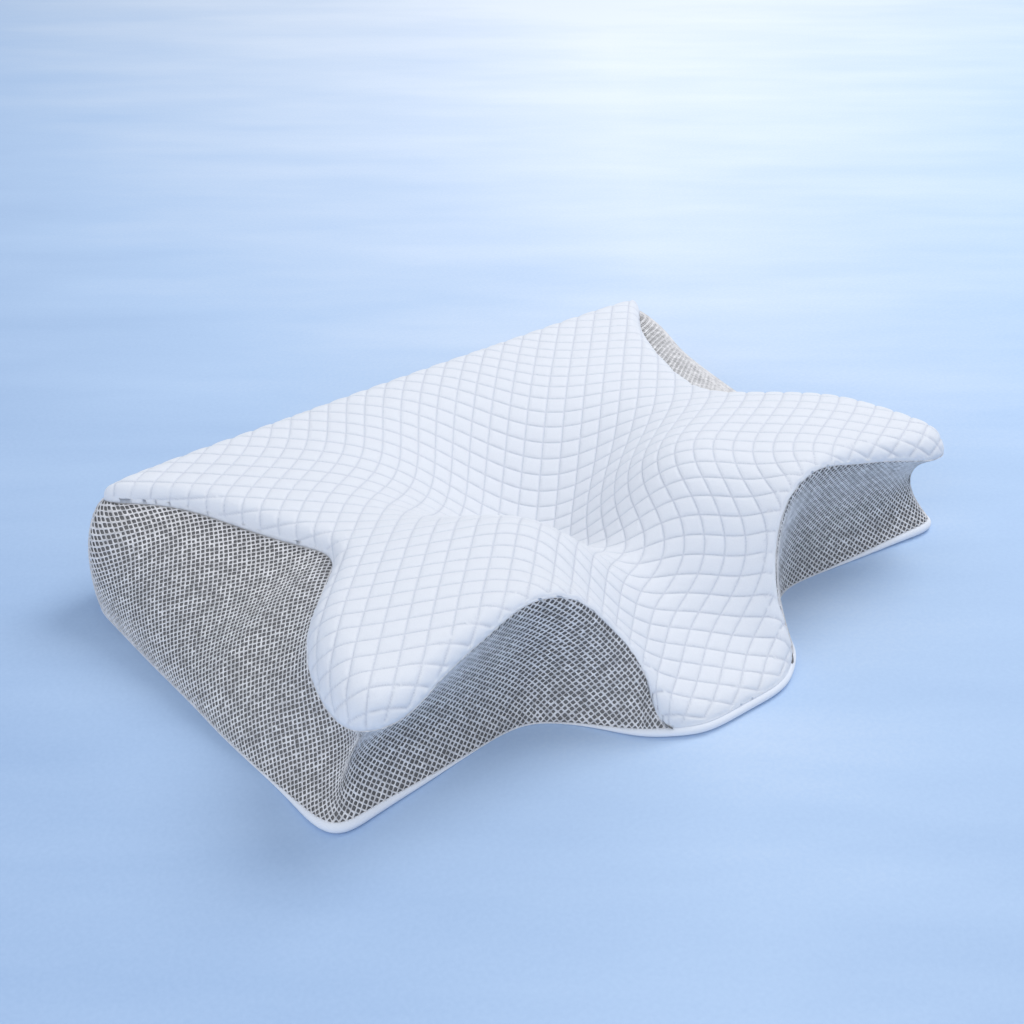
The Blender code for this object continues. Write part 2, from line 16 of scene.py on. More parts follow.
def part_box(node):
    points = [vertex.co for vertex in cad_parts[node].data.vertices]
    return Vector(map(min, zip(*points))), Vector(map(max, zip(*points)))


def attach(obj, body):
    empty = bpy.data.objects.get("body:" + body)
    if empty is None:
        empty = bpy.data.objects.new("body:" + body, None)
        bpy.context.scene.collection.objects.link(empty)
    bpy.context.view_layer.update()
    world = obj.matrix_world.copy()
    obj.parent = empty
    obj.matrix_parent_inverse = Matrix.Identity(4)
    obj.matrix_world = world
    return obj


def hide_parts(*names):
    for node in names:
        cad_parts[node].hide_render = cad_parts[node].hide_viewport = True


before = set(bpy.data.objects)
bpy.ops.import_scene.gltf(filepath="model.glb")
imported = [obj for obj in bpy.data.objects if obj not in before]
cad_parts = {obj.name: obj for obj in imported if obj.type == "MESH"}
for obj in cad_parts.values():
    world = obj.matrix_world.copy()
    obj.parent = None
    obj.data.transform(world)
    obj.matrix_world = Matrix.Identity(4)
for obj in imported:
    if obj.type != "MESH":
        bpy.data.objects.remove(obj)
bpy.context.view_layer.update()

COVER = "cover"

# ---------------------------------------------------------------- the pillow's shape (design mm)

# Half of the edge, from the front middle to the back middle: top seam x, y, z | base seam x, y, z |
# how far the side wall bulges by its top, by its base
STATIONS = np.array([
    (0, -214, 7, 0, -214, 7, 0, 0),
    (38, -212, 7, 38, -212, 7, 0, 0),
    (59, -202, 7, 59, -202, 7, 0, 0),
    (67, -178, 45, 78, -186, 6, 2, -6),
    (83, -157, 80, 96, -160, 4, 4, -12),
    (104, -147, 104, 114, -139, 3, 2, -14),
    (138, -142, 114, 136, -127, 3, -2, -14),
    (174, -144, 107, 170, -127, 3, -8, -16),
    (220, -152, 97, 222, -133, 5, -18, -20),
    (260, -160, 88, 268, -138, 7, -28, -26),
    (284, -146, 84, 296, -136, 8, -32, -30),
    (280, -100, 82, 302, -95, 5, -30, -26),
    (254, -48, 84, 302, -45, 3, -6, -12),
    (208, -5, 88, 302, 0, 3, 24, 0),
    (192, 18, 91, 301, 25, 3, 46, 2),
    (197, 55, 86, 300, 60, 3, 60, 4),
    (216, 108, 84, 299, 110, 3, 62, 6),
    (246, 165, 86, 297, 165, 3, 52, 8),
    (274, 200, 85, 288, 199, 4, 32, 8),
    (252, 208, 86, 252, 215, 4, 3, -2),
    (150, 208, 88, 150, 215, 4, 1, -3),
    (0, 208, 88, 0, 215, 4, 1, -3),
], float)
TONGUE_CORNER = 2     # station where the top seam and the base seam part
BACK_CORNER = 19      # station where the side wall meets the back wall

HEIGHT_X = np.array([0, 60, 120, 190, 290], float)
HEIGHT_Y = np.array([-216, -150, -90, -30, 30, 90, 160, 216], float)
HEIGHTS = np.array([
    [14, 15, 80, 110, 104],
    [42, 64, 112, 116, 108],
    [68, 105, 119, 119, 108],
    [50, 95, 115, 114, 106],
    [36, 62, 96, 103, 102],
    [66, 79, 96, 100, 100],
    [100, 101, 101, 101, 100],
    [102, 102, 102, 101, 98],
], float)
DESIGN_WIDTH = 609.0
KNOT_POWER = 0.6      # knots stand between evenly spaced (0) and spaced by length (1)
OUTLINE_POINTS = 1500
EDGE_ROLL = 14.0      # least width of the top's rolled edge
EDGE_BLEND = 5.0      # how far along the outline its heights are blended
EDGE_RISE = 8.0       # least height of the top over its seam
RISE_REACH = 42.0     # how far in from the seam that lift runs
LIP = 7.0             # height of the base seam at which its lip bulges in full
LIP_LOW = 3.0         # lowest height of the base seam
LIP_HIDDEN = 2.6      # how much lower than that its net hangs
# The lip's section from the base seam down to the floor: distance outwards, height
LIP_PROFILE = [(0.0, 7.0), (1.9, 5.4), (2.4, 3.5), (1.2, 1.1), (-1.6, 0.15), (-5.0, 0.0)]
TOP_CENTRE = np.array([0.0, -20.0])
BASE_CENTRE = np.array([0.0, 20.0])
WALL_TOP_PULL = 0.20  # the wall's curve is drawn towards points this share down from its top
WALL_BASE_PULL = 0.45 # and this share up from its base
LOW_WALL = 30.0       # a wall lower than this bulges less

BASE_LOW, BASE_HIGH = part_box("bottom_panel")
UNIT = (BASE_HIGH.x - BASE_LOW.x) / DESIGN_WIDTH   # metres for a design millimetre

# ---------------------------------------------------------------- fabric (design mm)

CELL = 15.0           # side of a quilted diamond, along the cloth
CELL_STEPS = [0.0, 0.5, 1.3, 3.6]        # grid lines at these distances from each quilting line
PUFF = 0.8            # how high a diamond stands over its quilting lines
CHANNEL = 0.55        # extra depth of the stitched line itself
CHANNEL_WIDTH = 0.75
DOME_POWER = 3.2      # how flat a diamond's crown is
STRETCH_REACH = 460.0 # half the side of the table of the cloth's extra length
STRETCH_LINES = 307
STRETCH_ROUNDS = 14   # rounds in which plan points are found from the cloth's
BAND = 8.0            # width of the band of rings along the seam
BAND_RINGS = 17
BAND_GAP = 1.2        # between the quilted grid and the band
BORDER = 2.2          # width of the unquilted border
FAR_INSIDE = 99.0     # stands for any distance from the seam beyond the band
BORDER_FADE = 3.0     # width over which the quilting begins
STITCH_FADE = 2.5     # and over which its stitched lines do
SEAM_STEP = 1.4       # length of a column along the seam
SEAM_SMOOTHING = 19   # columns over which the seam's level directions are averaged
TURN_IN = 0.9         # how far in the cloth turns under at the seam
TURN_DOWN = 0.6
NET_PITCH = 3.6       # side of a hole and its yarn in the net
YARN = 0.46           # half the width of the net's yarn
YARN_RISE = 0.4
KNOT_RISE = 0.14      # extra rise where two yarns meet
YARN_WANDER = 0.16    # how far the net's holes stray from their places
WANDER_LIMIT = 0.3
HOLE_SPREAD = 0.07    # how much the net's holes differ in size
HOLE_ROUNDING = 0.07  # how far a hole's corners are drawn in, as a share of it
NET_MARGIN = 0.6      # holes this share of the pitch outside a seam are still cut by it
LEAST_NET = 1.0       # a lower wall has no net
KNIT_DEPTH = 1.0      # depth of the dark inner knit under the net
SEAM_TUCK = 0.5       # how far a panel dips at its seams
TUCK_REACH = 4.0      # how far from a seam the dip begins
WALL_SMOOTHING = 30   # columns over which the wall's level directions are averaged
WALL_LEVELS = 49
CURVE_STEPS = 129
BASE_STEP = 2.2       # length of a column along the base seam
LIP_RINGS = 15
FLOOR_RINGS = 16
INSIDE_STEP = 4.5     # length of a column of the liner and the foam
LINER_DEPTH = 4.2
FOAM_DEPTH = 6.2
COIL_PITCH = 1.5
COIL_THREAD = 0.33    # half the thickness of the coil's nylon
TAPE_THICK = 0.5
TAPE_REACH = 250.0    # the tapes run on to the corner seams beyond the stops
LABEL_THICK = 0.35
BINDING_WIDTH = 6.0   # of the bound edges beside the zip
BINDING_RISE = 0.9
HEM_TURN = 8.0        # cloth of the base panel that turns up round the lip
STITCH_STEP = 2.9
STITCH_THREAD = 0.22


# ---------------------------------------------------------------- smooth curves through few points

def spline_slopes(knots, points, periodic):
    """Second derivatives of the smooth curve through points at knots, a row for each point."""
    n = len(points)
    steps = np.diff(knots)
    system = np.eye(n)
    right = np.zeros_like(points)
    for i in (range(n) if periodic else range(1, n - 1)):
        before, after = steps[i - 1], steps[i]
        system[i] = 0
        system[i, i - 1] += before
        system[i, i] += 2 * (before + after)
        system[i, (i + 1) % n] += after
        rise_after = (points[(i + 1) % n] - points[i]) / after
        rise_before = (points[i] - points[i - 1]) / before
        right[i] = 6 * (rise_after - rise_before)
    return np.linalg.solve(system, right)


def spline_at(knots, points, slopes, where):
    """Rows of the curve at these parameters."""
    n = len(points)
    i = np.clip(np.searchsorted(knots, where, side="right") - 1, 0, len(knots) - 2)
    j = (i + 1) % n
    step = (knots[i + 1] - knots[i])[:, None]
    left = (knots[i + 1] - where)[:, None]
    right = (where - knots[i])[:, None]
    bend = (slopes[i] * left**3 + slopes[j] * right**3) / (6 * step)
    return (
        bend
        + (points[i] / step - slopes[i] * step / 6) * left
        + (points[j] / step - slopes[j] * step / 6) * right
    )


def mirrored_stations():
    """The whole edge, anticlockwise from the front middle."""
    other = STATIONS[1:-1][::-1].copy()
    other[:, [0, 3]] *= -1
    return np.vstack([STATIONS, other])


POINTS = mirrored_stations()
PLAN = POINTS[:, [0, 1, 3, 4]]
LENGTHS = np.linalg.norm(np.roll(PLAN, -1, axis=0) - PLAN, axis=1) ** KNOT_POWER
KNOTS = np.concatenate([[0], np.cumsum(LENGTHS)])
SLOPES = spline_slopes(KNOTS, POINTS, periodic=True)


def edge_at(where):
    """Rows like a station's, at parameters along the edge."""
    where = np.asarray(where, float)
    rows = spline_at(KNOTS, POINTS, SLOPES, where)
    start = KNOTS[TONGUE_CORNER]
    opening = KNOTS[TONGUE_CORNER + 1] - start
    from_front = np.minimum(where, KNOTS[-1] - where)
    share = np.clip((from_front - start) / opening, 0, 1)[:, None]
    seam = rows[:, 3:6]
    rows[:, 0:3] = seam + (rows[:, 0:3] - seam) * share
    rows[:, 2] = np.maximum(rows[:, 2], rows[:, 5])
    # The net comes down over a low seam, and only a high one shows its lip
    hidden = LIP_HIDDEN * np.clip((LIP - rows[:, 5]) / (LIP - LIP_LOW), 0, 1)
    rows[:, 5] -= hidden
    return rows


DOWN = spline_slopes(HEIGHT_Y, HEIGHTS, periodic=False)
WIDE_X = np.concatenate([-HEIGHT_X[:0:-1], HEIGHT_X])


def height(x, y):
    """Height of the top surface before its edge is rolled."""
    by_row = spline_at(HEIGHT_Y, HEIGHTS, DOWN, np.clip(y, HEIGHT_Y[0], HEIGHT_Y[-1]))
    both = np.hstack([by_row[:, :0:-1], by_row]).T
    across = spline_slopes(WIDE_X, both, periodic=False)
    i = np.clip(np.searchsorted(WIDE_X, x, side="right") - 1, 0, len(WIDE_X) - 2)
    k = np.arange(len(x))
    step = WIDE_X[i + 1] - WIDE_X[i]
    left, right = WIDE_X[i + 1] - x, x - WIDE_X[i]
    return (
        (across[i, k] * left**3 + across[i + 1, k] * right**3) / (6 * step)
        + (both[i, k] / step - across[i, k] * step / 6) * left
        + (both[i + 1, k] / step - across[i + 1, k] * step / 6) * right
    )


OUTLINE = edge_at(np.linspace(0, KNOTS[-1], OUTLINE_POINTS, endpoint=False))
OUTLINE_RISE = height(OUTLINE[:, 0], OUTLINE[:, 1]) - OUTLINE[:, 2]
OUTLINE_LIFT = np.maximum(EDGE_RISE - OUTLINE_RISE, 0)


def roll(plan):
    """Distance of each point from the edge, and the rolled edge's width, rise and lift there."""
    found = []
    for part in np.array_split(plan, max(1, len(plan) // 3000)):
        gaps = np.hypot(part[:, None, 0] - OUTLINE[None, :, 0], part[:, None, 1] - OUTLINE[None, :, 1])
        distance = gaps.min(axis=1)
        weight = np.exp((distance[:, None] - gaps) / EDGE_BLEND)
        weight /= weight.sum(axis=1, keepdims=True)
        found.append(np.column_stack([distance, weight @ OUTLINE_RISE, weight @ OUTLINE_LIFT]))
    distance, rise, lift = np.vstack(found).T
    return distance, np.maximum(EDGE_ROLL, rise), rise, lift


def top_height(plan, edge):
    """Height of the unquilted top at points of the plan whose roll is known."""
    distance, width, rise, lift = edge
    near = np.clip(1 - distance / RISE_REACH, 0, 1) ** 2
    short = np.clip(1 - distance / width, 0, 1)
    fall = (rise + lift) * (1 - np.sqrt(1 - short**2))
    return height(plan[:, 0], plan[:, 1]) + lift * near - fall


def level_normals(points):
    """Level unit normals, outwards, of a closed run of points that goes round anticlockwise."""
    along = np.roll(points, -1, axis=0) - np.roll(points, 1, axis=0)
    normals = np.column_stack([along[:, 1], -along[:, 0]])
    return normals / np.linalg.norm(normals, axis=1)[:, None]


def smoothed_round(values, reach):
    """Running mean of a closed run of rows."""
    kernel = np.hanning(2 * reach + 3)[1:-1]
    kernel /= kernel.sum()
    total = np.zeros_like(values)
    for k, share in zip(range(-reach, reach + 1), kernel, strict=True):
        total += share * np.roll(values, k, axis=0)
    return total


# ---------------------------------------------------------------- meshes

def new_object(name, verts, faces):
    """A smooth mesh from points in design millimetres."""
    mesh = bpy.data.meshes.new(name)
    mesh.from_pydata((np.asarray(verts) * UNIT).tolist(), [], [list(f) for f in faces])
    mesh.validate()
    mesh.shade_smooth()
    obj = bpy.data.objects.new(name, mesh)
    bpy.context.scene.collection.objects.link(obj)
    return obj


def set_uv(obj, coordinates):
    """A UV map in fabric centimetres from a pair for each vertex."""
    layer = obj.data.uv_layers.new(name="fabric")
    index = np.empty(len(obj.data.loops), int)
    obj.data.loops.foreach_get("vertex_index", index)
    layer.data.foreach_set("uv", (np.asarray(coordinates) / 10)[index].ravel())


def set_shade(obj, name, values):
    """A named number for each vertex, for the material to read."""
    layer = obj.data.attributes.new(name, "FLOAT", "POINT")
    layer.data.foreach_set("value", np.asarray(values, np.float32))


def grid_faces(rows, columns, closed, start=0):
    """Quads of a grid of vertices, row by row. closed joins the last column to the first."""
    i, j = np.meshgrid(np.arange(rows - 1), np.arange(columns if closed else columns - 1), indexing="ij")
    k = (j + 1) % columns
    near, far = i * columns, (i + 1) * columns
    quads = np.stack([near + j, far + j, far + k, near + k], axis=-1)
    return (quads.reshape(-1, 4) + start).tolist()


def finish_piece(obj, material, slot, *nodes):
    """Give a piece of the cover its material, hang it from the cover's body and hide the nodes it stands
    for. The slot is not used.
    """
    obj.data.materials.append(material)
    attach(obj, COVER)
    if nodes:
        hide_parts(*nodes)
    return obj


# ---------------------------------------------------------------- quilted top

def quilt_depth(pattern, distance):
    """How far the surface lies under the crown of its diamonds, at pattern coordinates, and a mask of its
    quilting lines, which the material darkens as painted shade in their grooves.
    """
    gaps = []
    for k in range(2):
        phase = np.mod(pattern[:, k], CELL)
        gaps.append(np.minimum(phase, CELL - phase))
    half = CELL / 2
    dome = (1 - (1 - gaps[0] / half) ** DOME_POWER) * (1 - (1 - gaps[1] / half) ** DOME_POWER)
    stitched = np.exp(-(np.minimum(gaps[0], gaps[1]) / CHANNEL_WIDTH) ** 2)
    stitched *= np.clip((distance - BORDER) / STITCH_FADE, 0, 1)
    # The border beside the seam is plain, with a shallow step where the quilting begins
    inside = np.clip((distance - BORDER) / BORDER_FADE, 0, 1)
    inside = inside * inside * (3 - 2 * inside)
    depth = PUFF * (1 - dome) + CHANNEL * stitched
    border = 0.45 * PUFF + 0.25 * np.clip(1 - np.abs(distance - BORDER), 0, 1)
    return border + (depth - border) * inside, stitched * inside


def turned(plan):
    """Plan points in axes at 45 degrees to the sides, along the two families of quilting lines."""
    return np.column_stack([plan[:, 0] + plan[:, 1], plan[:, 1] - plan[:, 0]]) / math.sqrt(2)


def turned_back(pattern):
    """The plan points with these turned coordinates."""
    return np.column_stack([pattern[:, 0] - pattern[:, 1], pattern[:, 0] + pattern[:, 1]]) / math.sqrt(2)


def slope_lengths():
    """How much longer the cloth is than its plan, summed from the middle along each turned axis."""
    line = np.linspace(-STRETCH_REACH, STRETCH_REACH, STRETCH_LINES)
    step = line[1] - line[0]
    u, v = np.meshgrid(line, line, indexing="ij")
    plan = turned_back(np.column_stack([u.ravel(), v.ravel()]))
    plan[:, 0] = np.clip(plan[:, 0], -HEIGHT_X[-1], HEIGHT_X[-1])
    z = height(plan[:, 0], plan[:, 1]).reshape(u.shape)
    tables = []
    for axis in range(2):
        extra = np.cumsum((np.sqrt(1 + np.gradient(z, step, axis=axis) ** 2) - 1) * step, axis=axis)
        middle = np.take(extra, [STRETCH_LINES // 2], axis=axis)
        tables.append(extra - middle)
    return np.stack(tables, axis=-1), step


def extra_length(where):
    """The cloth's extra length at turned plan points, from the table."""
    table, step = SLOPE_LENGTHS
    place = np.clip((where + STRETCH_REACH) / step, 0, STRETCH_LINES - 1.001)
    i, j = place.astype(int).T
    a, b = (place - place.astype(int)).T[..., None]
    return (
        table[i, j] * (1 - a) * (1 - b) + table[i + 1, j] * a * (1 - b)
        + table[i, j + 1] * (1 - a) * b + table[i + 1, j + 1] * a * b
    )


def pattern_of(plan):
    """Coordinates along the cloth of the two families of quilting lines."""
    where = turned(plan)
    return where + extra_length(where)


def plan_of(pattern):
    """The plan points at which the cloth has these coordinates."""
    where = pattern.copy()
    for _ in range(STRETCH_ROUNDS):
        where = pattern - extra_length(where)
    return turned_back(where)


def quilt_lines(low, high):
    """Grid lines, closer together beside each quilting line."""
    offsets = [-s for s in CELL_STEPS[:0:-1]] + CELL_STEPS + [CELL / 2]
    cells = range(math.floor(low / CELL) - 1, math.ceil(high / CELL) + 2)
    return np.array(sorted(c * CELL + o for c in cells for o in offsets))


SLOPE_LENGTHS = slope_lengths()


def inside_part():
    """The quilted grid inside the band: plan points and quads."""
    reach = np.abs(pattern_of(OUTLINE[:, :2])).max()
    lines = quilt_lines(-reach, reach)
    u, v = np.meshgrid(lines, lines, indexing="ij")
    plan = plan_of(np.column_stack([u.ravel(), v.ravel()]))
    n = len(lines)
    quads = np.array(grid_faces(n, n, closed=False))
    # A first sieve by the outline's polygon, and a second one by the true distance
    within = enclosed(plan, OUTLINE[:, :2], np.roll(OUTLINE[:, :2], -1, axis=0))
    keep = np.flatnonzero(within)
    distance = np.full(len(plan), -1.0)
    distance[keep] = roll(plan[keep])[0]
    good = distance > BAND + BAND_GAP
    quads = quads[good[quads].all(axis=1)]
    used = np.unique(quads)
    renumber = np.full(len(plan), -1)
    renumber[used] = np.arange(len(used))
    return plan[used], renumber[quads]


def enclosed(points, starts, ends):
    """Which points lie inside closed outlines given by their sides, by counting crossings."""
    inside = np.zeros(len(points), bool)
    x, y = points[:, 0], points[:, 1]
    for (x0, y0), (x1, y1) in zip(starts, ends, strict=True):
        if y0 == y1:
            continue
        crosses = (y0 > y) != (y1 > y)
        at = x0 + (y[crosses] - y0) * (x1 - x0) / (y1 - y0)
        rows = np.flatnonzero(crosses)[x[crosses] < at]
        inside[rows] ^= True
    return inside


def even_round(step):
    """Rows of the edge at even lengths of its top seam."""
    fine = np.linspace(0, KNOTS[-1], 6001)
    rows = edge_at(fine)
    lengths = np.linalg.norm(np.diff(rows[:, :3], axis=0), axis=1)
    walked = np.concatenate([[0], np.cumsum(lengths)])
    count = int(round(walked[-1] / step))
    return edge_at(np.interp(np.arange(count) * walked[-1] / count, walked, fine))


def rim_loop(quads):
    """The vertex pairs of the grid's free edges."""
    edges = np.concatenate([quads[:, [0, 1]], quads[:, [1, 2]], quads[:, [2, 3]], quads[:, [3, 0]]])
    key = np.sort(edges, axis=1)
    _, first, counts = np.unique(key, axis=0, return_index=True, return_counts=True)
    return edges[first[counts == 1]]


def seam_band(rows):
    """Rings of plan points from inside the rolled edge out to the seam, and the way outwards."""
    seam = rows[:, :2]
    normals = smoothed_round(level_normals(seam), SEAM_SMOOTHING)
    normals /= np.linalg.norm(normals, axis=1)[:, None]
    shares = 1 - np.cos(np.linspace(0, math.pi / 2, BAND_RINGS)[1:])
    return [seam - normals * (BAND * s) for s in shares[::-1]] + [seam], normals


def filled_strip(plan, quads, ring):
    """Triangles between the quilted grid and the band's first ring, which comes after it."""
    rim = rim_loop(quads)
    rim_ids = np.unique(rim)
    points = [Vector(p) for p in plan[rim_ids]] + [Vector(p) for p in ring]
    local = {int(v): i for i, v in enumerate(rim_ids)}
    first, count = len(rim_ids), len(ring)
    edges = [(local[int(a)], local[int(b)]) for a, b in rim]
    edges += [(first + j, first + (j + 1) % count) for j in range(count)]
    made, _, triangles, origins, _, _ = delaunay_2d_cdt(points, edges, [], 1, 1e-6)
    index = [len(plan) + o[0] - first if o[0] >= first else int(rim_ids[o[0]]) for o in origins]
    centres = np.array([np.mean([made[v] for v in t], axis=0) for t in triangles])
    hidden = enclosed(centres, plan[rim[:, 0]], plan[rim[:, 1]])
    return [[index[v] for v in t] for t, out in zip(triangles, hidden, strict=True) if not out]


def cloth_of(points, normals, rings):
    """Pattern coordinates and distances from the seam, both along the cloth of the rolled edge."""
    count = len(normals)
    first = len(points) - rings * count
    stack = points[first:].reshape(rings, count, 3)
    steps = np.linalg.norm(np.diff(stack, axis=0), axis=2)
    flat_steps = np.linalg.norm(np.diff(stack[..., :2], axis=0), axis=2)
    extra = np.vstack([np.zeros(count), np.cumsum(steps - flat_steps, axis=0)])
    cloth = points[:, :2].copy()
    cloth[first:] += np.tile(normals, (rings, 1)) * extra.reshape(-1, 1)
    distance = np.full(len(points), FAR_INSIDE)
    distance[first:] = (steps.sum(axis=0) - np.vstack([np.zeros(count), np.cumsum(steps, axis=0)])).ravel()
    return pattern_of(cloth), distance


def make_top():
    """The quilted top, down to its seam and a little way under it."""
    rows = even_round(SEAM_STEP)
    rings, normals = seam_band(rows)
    grid, quads = inside_part()
    count = len(rows)
    faces = quads.tolist() + filled_strip(grid, quads, rings[0])
    faces += grid_faces(len(rings), count, closed=True, start=len(grid))
    plan = np.vstack([grid, *rings])
    z = top_height(plan, roll(plan))
    z[-count:] = rows[:, 2]
    points = np.column_stack([plan, z])
    pattern, distance = cloth_of(points, normals, len(rings))
    depth, stitched = quilt_depth(pattern, distance)
    points -= surface_normals(points, faces) * depth[:, None]
    under = points[-count:] - np.column_stack([normals * TURN_IN, np.full(count, TURN_DOWN)])
    faces += grid_faces(2, count, closed=True, start=len(plan) - count)
    top = new_object("top_quilt", np.vstack([points, under]), faces)
    set_uv(top, np.vstack([pattern, pattern[-count:]]))
    # The quilting lines' mask, which the material reads for the painted shade in their grooves
    set_shade(top, "stitched", np.concatenate([stitched, np.zeros(count)]))
    return top


def surface_normals(points, faces):
    """Unit vertex normals of a mesh of triangles and quads, turned upwards where it lies flat."""
    normals = np.zeros_like(points)
    for size in (3, 4):
        chosen = np.array([f for f in faces if len(f) == size])
        if not len(chosen):
            continue
        a, b, c = points[chosen[:, 0]], points[chosen[:, 1]], points[chosen[:, 2]]
        n = np.cross(b - a, c - a)
        n /= np.maximum(np.linalg.norm(n, axis=1, keepdims=True), 1e-9)
        n[n[:, 2] < -0.5] *= -1
        for k in range(size):
            np.add.at(normals, chosen[:, k], n)
    return normals / np.maximum(np.linalg.norm(normals, axis=1, keepdims=True), 1e-9)


# ---------------------------------------------------------------- side walls

def wall_curve(rows, top_normals, base_normals, shares):
    """Rings down the wall, a curve from the top seam to the base seam at every row of the edge."""
    top, base = rows[:, :3], rows[:, 3:6]
    tall = top[:, 2] - base[:, 2]
    share = np.clip(tall / LOW_WALL, 0, 1)
    near_top = top + np.column_stack([top_normals * (rows[:, 6] * share)[:, None], -tall * WALL_TOP_PULL])
    near_base = base + np.column_stack([base_normals * (rows[:, 7] * share)[:, None], tall * WALL_BASE_PULL])
    down = np.asarray(shares)[:, None, None]
    rest = 1 - down
    return rest**3 * top + 3 * rest**2 * down * near_top + 3 * rest * down**2 * near_base + down**3 * base


class Wall:
    """The side wall between two parameters of the edge, as a cloth s along and t up."""

    def __init__(self, start, end, columns):
        rows = edge_at(np.linspace(start, end, columns))
        top, base = rows[:, :3], rows[:, 3:6]
        curve = wall_curve(rows, self.normals(top), self.normals(base), np.linspace(1, 0, CURVE_STEPS))
        lengths = np.linalg.norm(np.diff(curve, axis=0), axis=2)
        walked = np.vstack([np.zeros(columns), np.cumsum(lengths, axis=0)])
        self.tall = walked[-1]
        # Evenly spaced up each column, base first
        self.grid = np.zeros((WALL_LEVELS, columns, 3))
        even = np.linspace(0, 1, WALL_LEVELS)
        for j in range(columns):
            for k in range(3):
                total = max(self.tall[j], 1e-9)
                self.grid[:, j, k] = np.interp(even * total, walked[:, j], curve[:, j, k])
        # Between its seams the cloth spans tight corners smoothly
        spans = np.clip(5 * even * (1 - even), 0, 1)[:, None, None]
        self.grid += (self.averaged(self.grid) - self.grid) * spans
        middle = (self.grid[0] + self.grid[-1]) / 2
        self.along = np.concatenate([[0], np.cumsum(np.linalg.norm(np.diff(middle, axis=0), axis=1))])
        self.length = self.along[-1]
        da = np.gradient(self.grid, axis=1)
        db = np.gradient(self.grid, axis=0)
        out = np.cross(da, db)
        size = np.linalg.norm(out, axis=2, keepdims=True)
        out = np.where(size > 1e-9, out / np.maximum(size, 1e-9), 0)
        # A column with no height has no normal of its own
        level = np.zeros_like(out)
        level[..., :2] = self.normals(base)[None]
        self.out = self.averaged(np.where(size > 1e-6, out, level))

    @staticmethod
    def averaged(field):
        """Running mean of a grid of vectors along the wall."""
        reach = WALL_SMOOTHING // 2
        kernel = np.hanning(2 * reach + 3)[1:-1]
        kernel /= kernel.sum()
        padded = np.pad(field, ((0, 0), (reach, reach), (0, 0)), mode="edge")
        columns = field.shape[1]
        return sum(share * padded[:, k:k + columns] for k, share in enumerate(kernel))

    @staticmethod
    def normals(points):
        """Level directions outwards, averaged along the wall so that a bulge never folds."""
        along = np.gradient(points[:, :2], axis=0)
        out = np.column_stack([along[:, 1], -along[:, 0]])
        out /= np.maximum(np.linalg.norm(out, axis=1)[:, None], 1e-9)
        padded = np.pad(out, ((WALL_SMOOTHING, WALL_SMOOTHING), (0, 0)), mode="edge")
        kernel = np.hanning(2 * WALL_SMOOTHING + 3)[1:-1]
        kernel /= kernel.sum()
        return np.column_stack([np.convolve(padded[:, k], kernel, mode="valid") for k in range(2)])

    def height_at(self, s):
        """Height of the cloth from its base seam to its top seam."""
        return np.interp(s, self.along, self.tall)

    def place(self, s, t, rise):
        """Points of the wall at cloth coordinates, raised outwards by rise."""
        tall = np.maximum(self.height_at(s), 1e-6)
        column = np.interp(s, self.along, np.arange(len(self.along)))
        level = np.clip(t / tall, 0, 1) * (WALL_LEVELS - 1)
        i = np.clip(level.astype(int), 0, WALL_LEVELS - 2)
        j = np.clip(column.astype(int), 0, len(self.along) - 2)
        a, b = (level - i)[:, None], (column - j)[:, None]
        found = []
        for field in (self.grid, self.out):
            low = field[i, j] * (1 - b) + field[i, j + 1] * b
            high = field[i + 1, j] * (1 - b) + field[i + 1, j + 1] * b
            found.append(low * (1 - a) + high * a)
        out = found[1] / np.maximum(np.linalg.norm(found[1], axis=1, keepdims=True), 1e-9)
        return found[0] + out * rise[:, None]


def seam_dip(wall, s, t, low, high, ends):
    """How far the cloth dips beside its seams: at its top, at its base and at its ends."""
    gaps = [t - low(s), high(s) - t]
    gaps += [s, wall.length - s] if ends == "both" else [wall.length - s] if ends == "last" else [s]
    gap = np.min(gaps, axis=0)
    return SEAM_TUCK * np.clip(1 - gap / TUCK_REACH, 0, 1) ** 2


def from_bias(a, b):
    """Cloth coordinates s and t of points on the net's two families of yarns."""
    return (a + b) / math.sqrt(2), (a - b) / math.sqrt(2)


def net_cells(wall, low, high):
    """Corners, along the two families of yarns, of the net's cells that a panel holds."""
    p, margin = NET_PITCH, NET_PITCH * NET_MARGIN
    tallest = float(wall.tall.max())
    first_b = -tallest / math.sqrt(2)
    count_a = int((wall.length + tallest) / math.sqrt(2) / p) + 2
    count_b = int((wall.length / math.sqrt(2) - first_b) / p) + 2
    a, b = np.meshgrid(np.arange(count_a), np.arange(count_b), indexing="ij")
    a, b = a.ravel() * p, b.ravel() * p + first_b
    s, t = from_bias(a + p / 2, b + p / 2)
    inner = np.clip(s, 0, wall.length)
    near = (s > -margin) & (s < wall.length + margin) & (high(inner) - low(inner) > LEAST_NET)
    near &= (t > low(inner) - margin) & (t < high(inner) + margin)
    return a[near], b[near]


def cell_shape():
    """One cell of the net: eight points on the middles of its yarns, then eight round its hole."""
    p, near_side, far_side = NET_PITCH, YARN, NET_PITCH - YARN
    rounding = HOLE_ROUNDING * (NET_PITCH - 2 * YARN)
    low, high = near_side + rounding, far_side - rounding
    outer = [(0, 0), (p / 2, 0), (p, 0), (p, p / 2), (p, p), (p / 2, p), (0, p), (0, p / 2)]
    hole = [(low, low), (p / 2, near_side), (high, low), (far_side, p / 2),
            (high, high), (p / 2, far_side), (low, high), (near_side, p / 2)]
    rises = [YARN_RISE + KNOT_RISE * (k % 2 == 0) for k in range(8)] + [-0.1] * 8
    return np.array(outer + hole), rises


